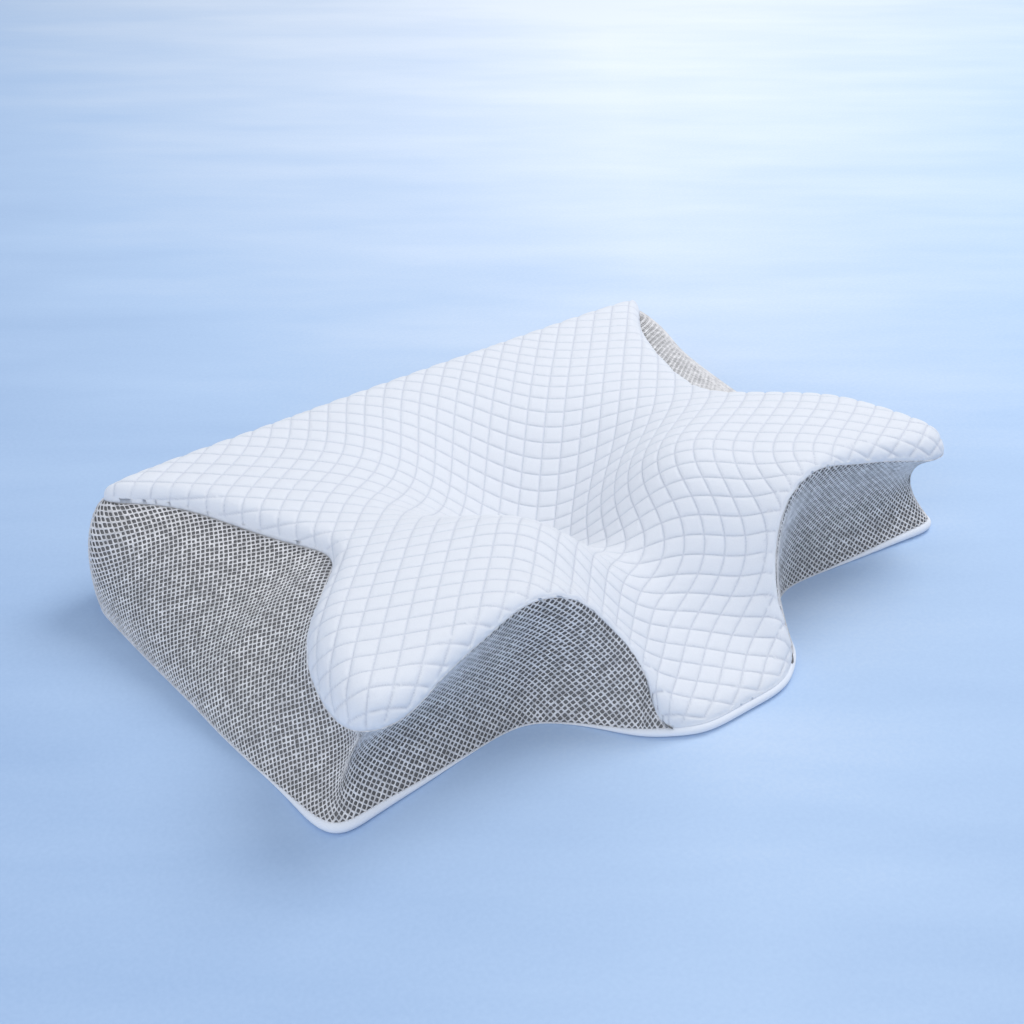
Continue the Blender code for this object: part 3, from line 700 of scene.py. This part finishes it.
def make_net(name, wall, low, high, ends):
    """Open net: yarns at 45 degrees to the wall, cut at its seams."""
    a, b = net_cells(wall, low, high)
    cells, half = len(a), NET_PITCH / 2
    shape, rises = cell_shape()
    # Each hole strays and grows or shrinks a little, and each cell has its own tone
    random = np.random.default_rng(7)
    of_hole = np.repeat([0, 1], 8)[None, :, None]
    stray = random.normal(0, YARN_WANDER, (cells, 1, 2)) * of_hole
    spread = 1 + random.normal(0, HOLE_SPREAD, (cells, 1, 1)) * of_hole
    tone = np.repeat(random.random(cells), 16)
    offsets = (shape[None] - half) * spread + half + np.clip(stray, -WANDER_LIMIT, WANDER_LIMIT)
    s, t = from_bias((a[:, None] + offsets[..., 0]).ravel(), (b[:, None] + offsets[..., 1]).ravel())
    s = np.clip(s, 0, wall.length)
    t = np.clip(t, low(s), high(s))
    rise = np.tile(rises, cells) - seam_dip(wall, s, t, low, high, ends)
    first = (np.arange(cells) * 16)[:, None]
    faces = [first + np.array([[k, (k + 1) % 8, 8 + (k + 1) % 8, 8 + k]]) for k in range(8)]
    obj = new_object(name, wall.place(s, t, rise), np.concatenate(faces).tolist())
    set_shade(obj, "tone", tone)
    bm = bmesh.new()
    bm.from_mesh(obj.data)
    bmesh.ops.remove_doubles(bm, verts=bm.verts, dist=0.00002)
    bmesh.ops.dissolve_degenerate(bm, edges=bm.edges, dist=0.00001)
    bm.to_mesh(obj.data)
    bm.free()
    obj.data.shade_smooth()
    return obj


def make_knit(name, wall, low, high, ends, columns, levels):
    """The dark inner knit that shows through the net's holes."""
    s, share = np.meshgrid(np.linspace(0, wall.length, columns), np.linspace(0, 1, levels))
    s, share = s.ravel(), share.ravel()
    t = low(s) + (high(s) - low(s)) * share
    rise = -KNIT_DEPTH - seam_dip(wall, s, t, low, high, ends)
    obj = new_object(name, wall.place(s, t, rise), grid_faces(levels, columns, closed=False))
    set_uv(obj, np.column_stack([s, t]))
    return obj


# ---------------------------------------------------------------- base panel

def make_base():
    """The base panel, with the lip in which it turns up to its seam."""
    rows = even_round(BASE_STEP)
    base = rows[:, 3:5]
    out = smoothed_round(level_normals(base), 3)
    profile = np.array(LIP_PROFILE)
    knots = np.concatenate([[0], np.cumsum(np.linalg.norm(np.diff(profile, axis=0), axis=1))])
    bends = spline_slopes(knots, profile, periodic=False)
    fine = spline_at(knots, profile, bends, np.linspace(0, knots[-1], LIP_RINGS))
    fine[:, 1] = np.maximum(fine[:, 1], 0)
    count = len(base)
    full = (rows[:, 5] / LIP)[:, None]
    rings = [np.column_stack([base - out * 1.2, rows[:, 5] + 0.3])]
    rings += [np.column_stack([base + out * (d * full if d > 0 else d), z * full[:, 0]]) for d, z in fine]
    foot = rings[-1][:, :2]
    for share in np.linspace(0, 1, FLOOR_RINGS)[1:-1]:
        rings.append(np.column_stack([foot + (BASE_CENTRE - foot) * share, np.zeros(count)]))
    points = np.vstack(rings + [[*BASE_CENTRE, 0.0]])
    faces = grid_faces(len(rings), count, closed=True)
    last = (len(rings) - 1) * count
    faces += [(last + j, len(points) - 1, last + (j + 1) % count) for j in range(count)]
    obj = new_object("base_cloth", points, faces)
    uv = points[:, :2].copy()
    for i in range(LIP_RINGS + 1):
        uv[i * count:(i + 1) * count] = base + out * (knots[-1] - i * knots[-1] / LIP_RINGS)
    set_uv(obj, uv)
    return obj


# ---------------------------------------------------------------- liner and foam

def make_inside(name, depth):
    """A smooth closed body at a depth under the skin."""
    rows = even_round(INSIDE_STEP)
    top, base = rows[:, :3], rows[:, 3:6]
    count = len(rows)
    shares = 1 - (1 - np.linspace(0, 1, 34)[1:-1]) ** 1.5
    plans = [TOP_CENTRE + (top[:, :2] - TOP_CENTRE) * share for share in shares]
    rings = [np.column_stack([plan, top_height(plan, roll(plan))]) for plan in plans]
    out = smoothed_round(level_normals(base[:, :2]), 4)
    bulges = [smoothed_round(level_normals(side[:, :2]), 9) for side in (top, base)]
    rings += list(wall_curve(rows, *bulges, np.linspace(0, 1, 15)))
    for share in np.linspace(0, 1, 14)[:-1]:
        foot = base[:, :2] - out * 5
        rings.append(np.column_stack([foot + (BASE_CENTRE - foot) * share, np.zeros(count)]))
    grid = np.array(rings)
    down = np.gradient(grid, axis=0)
    around = np.roll(grid, -1, axis=1) - np.roll(grid, 1, axis=1)
    normals = np.cross(down, around)
    size = np.linalg.norm(normals, axis=2, keepdims=True)
    level = np.zeros_like(normals)
    level[..., :2] = out
    normals = np.where(size > 1e-3, normals / np.maximum(size, 1e-3), level)
    grid = grid - normals * depth
    # Averaging round the edge keeps it behind the cloth where a corner of the wall is tight
    grid = np.moveaxis(smoothed_round(np.moveaxis(grid, 1, 0), 7), 0, 1)
    grid[..., 2] = np.maximum(grid[..., 2], depth)
    ends = [[*TOP_CENTRE, grid[0, :, 2].mean()], [*BASE_CENTRE, depth]]
    points = np.vstack([grid.reshape(-1, 3), ends])
    faces = grid_faces(len(rings), count, closed=True)
    last = (len(rings) - 1) * count
    for j in range(count):
        k = (j + 1) % count
        faces += [(len(points) - 2, j, k), (last + j, len(points) - 1, last + k)]
    return new_object(name, points, faces)


# ---------------------------------------------------------------- zip and label

def tube_round(points, centres, radius, sides=6):
    """Rings of a thin tube whose line winds round the given centres."""
    along = np.gradient(points, axis=0)
    along /= np.linalg.norm(along, axis=1, keepdims=True)
    outwards = points - centres
    outwards -= along * (outwards * along).sum(axis=1, keepdims=True)
    outwards /= np.linalg.norm(outwards, axis=1, keepdims=True)
    sideways = np.cross(along, outwards)
    rings = []
    for angle in np.arange(sides) * 2 * math.pi / sides:
        rings.append(points + radius * (math.cos(angle) * outwards + math.sin(angle) * sideways))
    return np.stack(rings, axis=1)


def room_of(node):
    """Low and high corners of a CAD node's box, in design millimetres."""
    return [np.array(corner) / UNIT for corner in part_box(node)]


def make_coil(name, node):
    """The nylon spiral of one side of the zip, in the room of its plain bar."""
    low, high = room_of(node)
    turns = int((high[0] - low[0] - 1.0) / COIL_PITCH)
    angle = np.linspace(0, turns * 2 * math.pi, turns * 14 + 1)
    x = low[0] + 0.5 + (high[0] - low[0] - 1.0) * angle / angle[-1]
    middle, half = (low + high) / 2, (high - low) / 2 - COIL_THREAD
    centres = np.column_stack([x, np.full_like(x, middle[1]), np.full_like(x, middle[2])])
    line = centres + np.column_stack([np.zeros_like(x), half[1] * np.cos(angle), half[2] * np.sin(angle)])
    rings = tube_round(line, centres, COIL_THREAD)
    count, sides = rings.shape[:2]
    faces = grid_faces(count, sides, closed=True)
    faces += [tuple(range(sides)), tuple((count - 1) * sides + k for k in range(sides))[::-1]]
    return new_object(name, rings.reshape(-1, 3), faces)


def make_tape(name, node):
    """A flat woven tape that leans with the wall."""
    low, high = room_of(node)
    x, share = np.meshgrid(np.linspace(-TAPE_REACH, TAPE_REACH, 160), np.linspace(0, 1, 8))
    x, share = x.ravel(), share.ravel()
    z = low[2] + (high[2] - low[2]) * share
    y = (high[1] - TAPE_THICK / 2) + (low[1] - high[1] + TAPE_THICK) * share
    tape = new_object(name, np.column_stack([x, y, z]), grid_faces(8, 160, closed=False))
    set_uv(tape, np.column_stack([x, z]))
    thickened(tape, TAPE_THICK)
    return tape, 2 * TAPE_REACH, high[2] - low[2]


def thickened(obj, thick):
    solid = obj.modifiers.new("thickness", "SOLIDIFY")
    solid.thickness = thick * UNIT
    solid.offset = 0.0


def make_binding(name, wall, first, last):
    """The bound edge of a back panel beside the zip, folded over its cut."""
    s, share = np.meshgrid(np.linspace(0.5, wall.length - 0.5, 300), np.linspace(0, 1, 9))
    s, share = s.ravel(), share.ravel()
    rise = BINDING_RISE * np.sqrt(np.maximum(1 - (2 * share - 1) ** 6, 0))
    up = share * (last - first)
    binding = new_object(name, wall.place(s, first + up, rise), grid_faces(9, 300, closed=False))
    set_uv(binding, np.column_stack([s, up]))
    return binding


def make_stitches(name, starts, ends, outwards):
    """A row of short threads, each a small bent bar that dips into the cloth at its ends."""
    starts, ends, outwards = np.array(starts), np.array(ends), np.array(outwards)
    shares = np.array([0.0, 0.2, 0.5, 0.8, 1.0])
    lifts = np.array([-0.15, 0.12, 0.2, 0.12, -0.15])
    points, faces = [], []
    for a, b, out in zip(starts, ends, outwards, strict=True):
        line = a + (b - a) * shares[:, None] + out * lifts[:, None]
        rings = tube_round(line, line - out, STITCH_THREAD, 5)
        first = len(points) * 25
        points.append(rings.reshape(-1, 3))
        faces += grid_faces(5, 5, closed=True, start=first)
        faces += [tuple(first + k for k in range(5)), tuple(first + 20 + k for k in range(5))[::-1]]
    return new_object(name, np.vstack(points), faces)


def wall_stitches(name, wall, t):
    """Stitches along a back wall at one height."""
    count = int(wall.length / STITCH_STEP)
    s = (np.arange(count) + 0.2) * STITCH_STEP
    level = np.full(count, float(t))
    rise = np.full(count, BINDING_RISE)
    starts, ends = wall.place(s, level, rise), wall.place(s + STITCH_STEP * 0.7, level, rise)
    outwards = wall.place(s, level, rise + 1.0) - starts
    return make_stitches(name, starts, ends, outwards)


def make_label():
    """A blank label that hangs from its stitched top edge and curls a little outwards."""
    low, high = room_of("care_label")
    u, v = np.meshgrid(np.linspace(0, 1, 29), np.linspace(0, 1, 31))
    u, v = u.ravel(), v.ravel()
    x = low[0] + (high[0] - low[0]) * u
    z = high[2] - (high[2] - low[2]) * v
    curl = 1.6 * v**2 + 0.35 * np.sin(u * math.pi * 2 + 0.6) * v
    y = (low[1] + high[1]) / 2 + curl
    label = new_object("label_cloth", np.column_stack([x, y, z]), grid_faces(31, 29, closed=False))
    set_uv(label, np.column_stack([x, z]))
    thickened(label, LABEL_THICK)
    xs = np.arange(low[0] + 1.5, high[0] - 2.4, STITCH_STEP)
    row = np.column_stack([xs, np.full_like(xs, high[1] + 0.1), np.full_like(xs, high[2] - 2.5)])
    outwards = np.tile([0.0, 1.0, 0.0], (len(xs), 1))
    stitches = make_stitches("label_stitches", row, row + [STITCH_STEP * 0.7, 0, 0], outwards)
    return label, stitches, (high[0] - low[0], high[2] - low[2])


# ---------------------------------------------------------------- materials

class Nodes:
    """Short ways to add and link a material's nodes."""

    def __init__(self, name):
        self.material = bpy.data.materials.new(name)
        self.material.use_nodes = True
        self.tree = self.material.node_tree
        self.shader = self.tree.nodes["Principled BSDF"]

    def add(self, kind, **settings):
        node = self.tree.nodes.new(kind)
        for key, value in settings.items():
            setattr(node, key, value)
        return node

    def link(self, a, b):
        self.tree.links.new(a, b)

    def value(self, node, **inputs):
        for key, value in inputs.items():
            node.inputs[key.replace("_", " ")].default_value = value

    def uv(self):
        return self.add("ShaderNodeUVMap", uv_map="fabric").outputs["UV"]

    def place(self):
        return self.add("ShaderNodeTexCoord").outputs["Object"]

    def shade(self, name):
        return self.add("ShaderNodeAttribute", attribute_name=name).outputs["Fac"]

    def noise(self, vector, scale, detail=2.0, rough=0.5):
        node = self.add("ShaderNodeTexNoise")
        self.value(node, Scale=scale, Detail=detail, Roughness=rough)
        self.link(vector, node.inputs["Vector"])
        return node.outputs["Fac"]

    def bands(self, vector, direction, scale, distortion):
        node = self.add("ShaderNodeTexWave", wave_type="BANDS", bands_direction=direction)
        self.value(node, Scale=scale, Distortion=distortion, Detail=1.0)
        self.link(vector, node.inputs["Vector"])
        return node.outputs["Fac"]

    def stretched(self, vector, scale):
        node = self.add("ShaderNodeMapping")
        self.value(node, Scale=scale)
        self.link(vector, node.inputs["Vector"])
        return node.outputs["Vector"]

    def math(self, operation, a, b):
        node = self.add("ShaderNodeMath", operation=operation)
        for socket, given in zip(node.inputs, (a, b), strict=False):
            if isinstance(given, (int, float)):
                socket.default_value = given
            else:
                self.link(given, socket)
        return node.outputs[0]

    def total(self, *parts):
        """Sum of sockets, each times its share."""
        sockets = [self.math("MULTIPLY", socket, share) for socket, share in parts]
        so_far = sockets[0]
        for socket in sockets[1:]:
            so_far = self.math("ADD", so_far, socket)
        return so_far

    def ramp(self, factor, stops):
        node = self.add("ShaderNodeValToRGB")
        ramp = node.color_ramp
        while len(ramp.elements) < len(stops):
            ramp.elements.new(0.5)
        for element, (at, colour) in zip(ramp.elements, stops, strict=True):
            element.position = at
            element.color = (*colour, 1.0)
        self.link(factor, node.inputs["Fac"])
        self.link(node.outputs["Color"], self.shader.inputs["Base Color"])

    def bump(self, height_socket, distance, strength):
        node = self.add("ShaderNodeBump")
        self.value(node, Distance=distance, Strength=strength)
        self.link(height_socket, node.inputs["Height"])
        self.link(node.outputs["Normal"], self.shader.inputs["Normal"])

    def uneven_roughness(self, socket, share, least):
        uneven = self.math("ADD", self.math("MULTIPLY", socket, share), least)
        self.link(uneven, self.shader.inputs["Roughness"])

    def finish(self, **inputs):
        self.value(self.shader, **inputs)
        return self.material


def white_knit():
    n = Nodes("quilted_white_knit")
    uv = n.uv()
    mottle = n.noise(n.stretched(uv, (1.0, 2.6, 1.0)), 7.0, 3.0, 0.6)
    both = n.total((mottle, 0.6), (n.noise(uv, 42.0), 0.4))
    # Painted shade: the quilting lines are painted darker, standing in for the shade in their grooves
    tone = n.math("SUBTRACT", both, n.math("MULTIPLY", n.shade("stitched"), 0.32))
    n.ramp(tone, [(0.05, (0.60, 0.63, 0.72)), (0.42, (0.82, 0.845, 0.90)), (0.7, (0.87, 0.89, 0.935))])
    n.bump(both, 0.0007, 0.8)
    return n.finish(Roughness=0.86, Sheen_Weight=0.25, Sheen_Roughness=0.5, Specular_IOR_Level=0.25)


def plain_knit():
    n = Nodes("plain_white_knit")
    uv = n.uv()
    both = n.total((n.bands(uv, "X", 3.2, 0.6), 0.35), (n.noise(uv, 36.0), 0.5))
    n.ramp(both, [(0.1, (0.76, 0.80, 0.88)), (0.7, (0.88, 0.905, 0.95))])
    n.bump(both, 0.0003, 0.5)
    return n.finish(Roughness=0.85, Specular_IOR_Level=0.25)


def net_yarn():
    n = Nodes("grey_net_yarn")
    where = n.place()
    fibre = n.noise(where, 2600.0, 1.0)
    tone = n.total((n.noise(where, 90.0), 0.3), (fibre, 0.35), (n.shade("tone"), 0.35))
    n.ramp(tone, [(0.2, (0.50, 0.492, 0.50)), (0.8, (0.96, 0.945, 0.95))])
    n.bump(fibre, 0.0002, 0.6)
    return n.finish(Roughness=0.8, Specular_IOR_Level=0.3)


def inner_knit():
    n = Nodes("dark_inner_knit")
    fine = n.noise(n.uv(), 30.0)
    n.ramp(fine, [(0.25, (0.12, 0.119, 0.122)), (0.8, (0.31, 0.307, 0.312))])
    n.bump(fine, 0.0004, 0.7)
    return n.finish(Roughness=0.95)


def woven_tape():
    """Twill of the zip's tapes and of the bindings beside it."""
    n = Nodes("woven_zip_tape")
    uv = n.uv()
    both = n.total((n.bands(uv, "DIAGONAL", 6.0, 0.4), 0.6), (n.noise(uv, 50.0), 0.4))
    n.ramp(both, [(0.15, (0.17, 0.175, 0.19)), (0.8, (0.33, 0.335, 0.35))])
    n.bump(both, 0.0002, 0.6)
    return n.finish(Roughness=0.85)


def nylon_coil():
    n = Nodes("moulded_nylon_coil")
    where = n.place()
    n.ramp(n.noise(where, 400.0), [(0.2, (0.15, 0.155, 0.17)), (0.8, (0.24, 0.245, 0.26))])
    n.uneven_roughness(n.noise(where, 900.0), 0.25, 0.3)
    return n.finish()


def cast_zinc():
    n = Nodes("cast_zinc")
    where = n.place()
    cloud = n.noise(where, 260.0, 3.0, 0.6)
    n.ramp(cloud, [(0.25, (0.42, 0.43, 0.45)), (0.75, (0.62, 0.63, 0.65))])
    n.uneven_roughness(cloud, 0.3, 0.22)
    n.bump(n.noise(where, 1500.0), 0.00005, 0.4)
    return n.finish(Metallic=1.0)


def label_satin():
    n = Nodes("label_satin")
    uv = n.uv()
    both = n.total((n.bands(uv, "X", 9.0, 0.3), 0.4), (n.noise(uv, 6.0), 0.6))
    n.ramp(both, [(0.2, (0.80, 0.80, 0.79)), (0.8, (0.92, 0.92, 0.91))])
    n.bump(both, 0.0001, 0.4)
    return n.finish(Roughness=0.5, Sheen_Weight=0.2)


def jersey():
    n = Nodes("liner_jersey")
    loops = n.noise(n.stretched(n.place(), (1.0, 2.2, 1.0)), 900.0)
    n.ramp(loops, [(0.2, (0.82, 0.82, 0.80)), (0.8, (0.93, 0.93, 0.92))])
    n.bump(loops, 0.0003, 0.5)
    return n.finish(Roughness=0.9)


def memory_foam():
    n = Nodes("memory_foam")
    pores = n.add("ShaderNodeTexVoronoi")
    n.value(pores, Scale=700.0)
    n.link(n.place(), pores.inputs["Vector"])
    n.ramp(pores.outputs["Distance"], [(0.1, (0.78, 0.72, 0.55)), (0.6, (0.94, 0.90, 0.76))])
    n.bump(pores.outputs["Distance"], 0.0003, 0.6)
    return n.finish(Roughness=0.95)


def floor_cloth():
    """Pale blue cloth floor with soft streaks and a painted pool of light: painted lighter behind the pillow
    and painted darker to the sides.
    """
    n = Nodes("pale_floor")
    where = n.place()
    # The painted pool of light is centred a little behind the pillow and turned with the camera
    mapping = n.add("ShaderNodeMapping")
    n.value(mapping, Location=(-0.12, 0.16, 0.0), Rotation=(0.0, 0.0, math.radians(-CAMERA_TURN[0])))
    n.link(where, mapping.inputs["Vector"])
    level = mapping.outputs["Vector"]
    streaks = n.noise(n.stretched(level, (1.6, 7.0, 1.0)), 1.6, 4.0, 0.55)
    weave = n.noise(where, 300.0)
    axes = n.add("ShaderNodeSeparateXYZ")
    n.link(level, axes.inputs["Vector"])
    # Painted light and shade: lighter further from the camera, darker to each side
    far = n.math("ADD", n.math("MULTIPLY", axes.outputs["Y"], 0.26), 0.5)
    painted_shade_aside = n.math("ABSOLUTE", axes.outputs["X"], 0.0)
    tone = n.math("SUBTRACT", far, n.math("MULTIPLY", painted_shade_aside, 0.46))
    for pattern, share in ((streaks, 0.3), (weave, 0.12)):
        tone = n.math("ADD", tone, n.math("MULTIPLY", n.math("SUBTRACT", pattern, 0.5), share))
    n.ramp(tone, [(0.0, (0.28, 0.42, 0.66)), (0.45, (0.48, 0.63, 0.85)), (0.95, (0.84, 0.90, 0.98))])
    return n.finish(Roughness=0.9, Specular_IOR_Level=0.1)


# ---------------------------------------------------------------- stage

CAMERA_AT = Vector((-0.723, -0.840, 0.740))
CAMERA_TURN = (-39.14, 31.39)    # degrees: azimuth and elevation
LENS = 59.1


def make_camera():
    turn, tilt = (math.radians(v) for v in CAMERA_TURN)
    back = Vector((math.sin(turn) * math.cos(tilt), -math.cos(turn) * math.cos(tilt), math.sin(tilt)))
    data = bpy.data.cameras.new("camera")
    data.lens = LENS
    data.sensor_width = 36.0
    data.clip_end = 50
    camera = bpy.data.objects.new("camera", data)
    bpy.context.scene.collection.objects.link(camera)
    camera.location = CAMERA_AT
    camera.rotation_euler = back.to_track_quat("Z", "Y").to_euler()
    bpy.context.scene.camera = camera
    bpy.context.scene.view_settings.view_transform = "Standard"


def area_light(name, at, towards, size, power, colour):
    data = bpy.data.lights.new(name, "AREA")
    data.shape = "DISK"
    data.size = size
    data.energy = power
    data.color = colour
    light = bpy.data.objects.new(name, data)
    bpy.context.scene.collection.objects.link(light)
    light.location = at
    light.rotation_euler = (Vector(at) - Vector(towards)).to_track_quat("Z", "Y").to_euler()


def make_stage():
    bm = bmesh.new()
    bmesh.ops.create_grid(bm, x_segments=8, y_segments=8, size=6.0)
    mesh = bpy.data.meshes.new("floor")
    bm.to_mesh(mesh)
    bm.free()
    floor = bpy.data.objects.new("floor", mesh)
    bpy.context.scene.collection.objects.link(floor)
    floor.location.z = BASE_LOW.z - 0.0003
    floor.data.materials.append(floor_cloth())
    area_light("key", (1.9, 0.1, 2.4), (0, 0, 0.05), 1.9, 46, (1.0, 0.985, 0.965))
    area_light("fill", (-2.0, -0.9, 1.3), (0, 0, 0.05), 2.2, 17, (0.95, 0.97, 1.0))
    world = bpy.data.worlds.new("studio")
    world.use_nodes = True
    sky = world.node_tree.nodes["Background"]
    sky.inputs["Color"].default_value = (0.84, 0.90, 1.0, 1.0)
    sky.inputs["Strength"].default_value = 0.66
    bpy.context.scene.world = world


# ---------------------------------------------------------------- the whole pillow

def dress(node, material):
    """A carried-over node keeps its shape and takes a material."""
    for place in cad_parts[node].material_slots:
        place.material = material


def low_edge(s):
    return np.zeros_like(s)


def make_panel(name, node, wall, low, high, ends, size):
    """A panel of open net stretched over its dark inner knit."""
    net = make_net(name + "_net", wall, low, high, ends)
    knit = make_knit(name + "_inner_knit", wall, low, high, ends, *size)
    finish_piece(net, YARN_LOOK, "grey_mesh", node)
    finish_piece(knit, KNIT_LOOK, "grey_mesh", node)
    s = np.linspace(0, wall.length, 600)
    widths = high(s) - low(s)


def zip_edges():
    """Heights up the back wall at which its upper and its lower panel stop for the zip."""
    seam = STATIONS[-1, 5]
    lower_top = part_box("back_panel_lower")[1].z / UNIT - seam
    upper_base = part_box("back_panel_upper")[0].z / UNIT - seam
    return upper_base, lower_top


def make_sides():
    tongue, back = KNOTS[TONGUE_CORNER], KNOTS[BACK_CORNER]
    right = Wall(tongue, back, 700)
    left = Wall(KNOTS[-1] - back, KNOTS[-1] - tongue, 700)
    for side, wall, ends in (("right", right, "last"), ("left", left, "first")):
        make_panel(side, side + "_side_panel", wall, low_edge, wall.height_at, ends, (420, 40))


def make_back():
    back = KNOTS[BACK_CORNER]
    wall = Wall(back, KNOTS[-1] - back, 300)
    upper, lower = zip_edges()
    twill = woven_tape()

    def over(s):
        return np.full_like(s, upper)

    def under(s):
        return np.full_like(s, lower)

    for name, low, high, first, last in (
        ("upper", over, wall.height_at, upper, upper + BINDING_WIDTH),
        ("lower", low_edge, under, lower - BINDING_WIDTH, lower),
    ):
        node = "back_panel_" + name
        binding = finish_piece(make_binding("binding_" + name, wall, first, last), twill, "zip_tape")
        sewn = wall_stitches("stitches_" + name, wall, (first + last) / 2)
        finish_piece(sewn, YARN_LOOK, "grey_mesh")
        make_panel("back_" + name, node, wall, low, high, "both", (260, 14))
        tape, length, width = make_tape("tape_" + name, "zipper_tape_" + name)
        finish_piece(tape, twill, "zip_tape", "zipper_tape_" + name)
        coil = make_coil("coil_" + name, "zipper_coil_" + name)
        finish_piece(coil, COIL_LOOK, "zip_coil", "zipper_coil_" + name)
    label, stitches, size = make_label()
    satin = label_satin()
    finish_piece(label, satin, "label_satin", "care_label")
    finish_piece(stitches, YARN_LOOK, "label_satin")


def make_body():
    top = finish_piece(make_top(), white_knit(), "white_knit", "top_panel")
    liner = finish_piece(make_inside("liner_sock", LINER_DEPTH), jersey(), "liner_jersey", "inner_liner")
    foam = finish_piece(make_inside("foam_body", FOAM_DEPTH), memory_foam(), "memory_foam", "foam_core")
    base = finish_piece(make_base(), plain_knit(), "base_knit", "bottom_panel")
    outline = OUTLINE[:, 3:5]
    after = np.roll(outline, -1, axis=0)
    area = abs(np.sum(outline[:, 0] * after[:, 1] - outline[:, 1] * after[:, 0])) / 2
    area += HEM_TURN * np.linalg.norm(after - outline, axis=1).sum()


YARN_LOOK = net_yarn()
KNIT_LOOK = inner_knit()
COIL_LOOK = nylon_coil()
ZINC_LOOK = cast_zinc()
for metal in ("zipper_slider", "zipper_pull", "zipper_stop_left", "zipper_stop_right"):
    dress(metal, ZINC_LOOK)
make_body()
make_sides()
make_back()
make_camera()
make_stage()
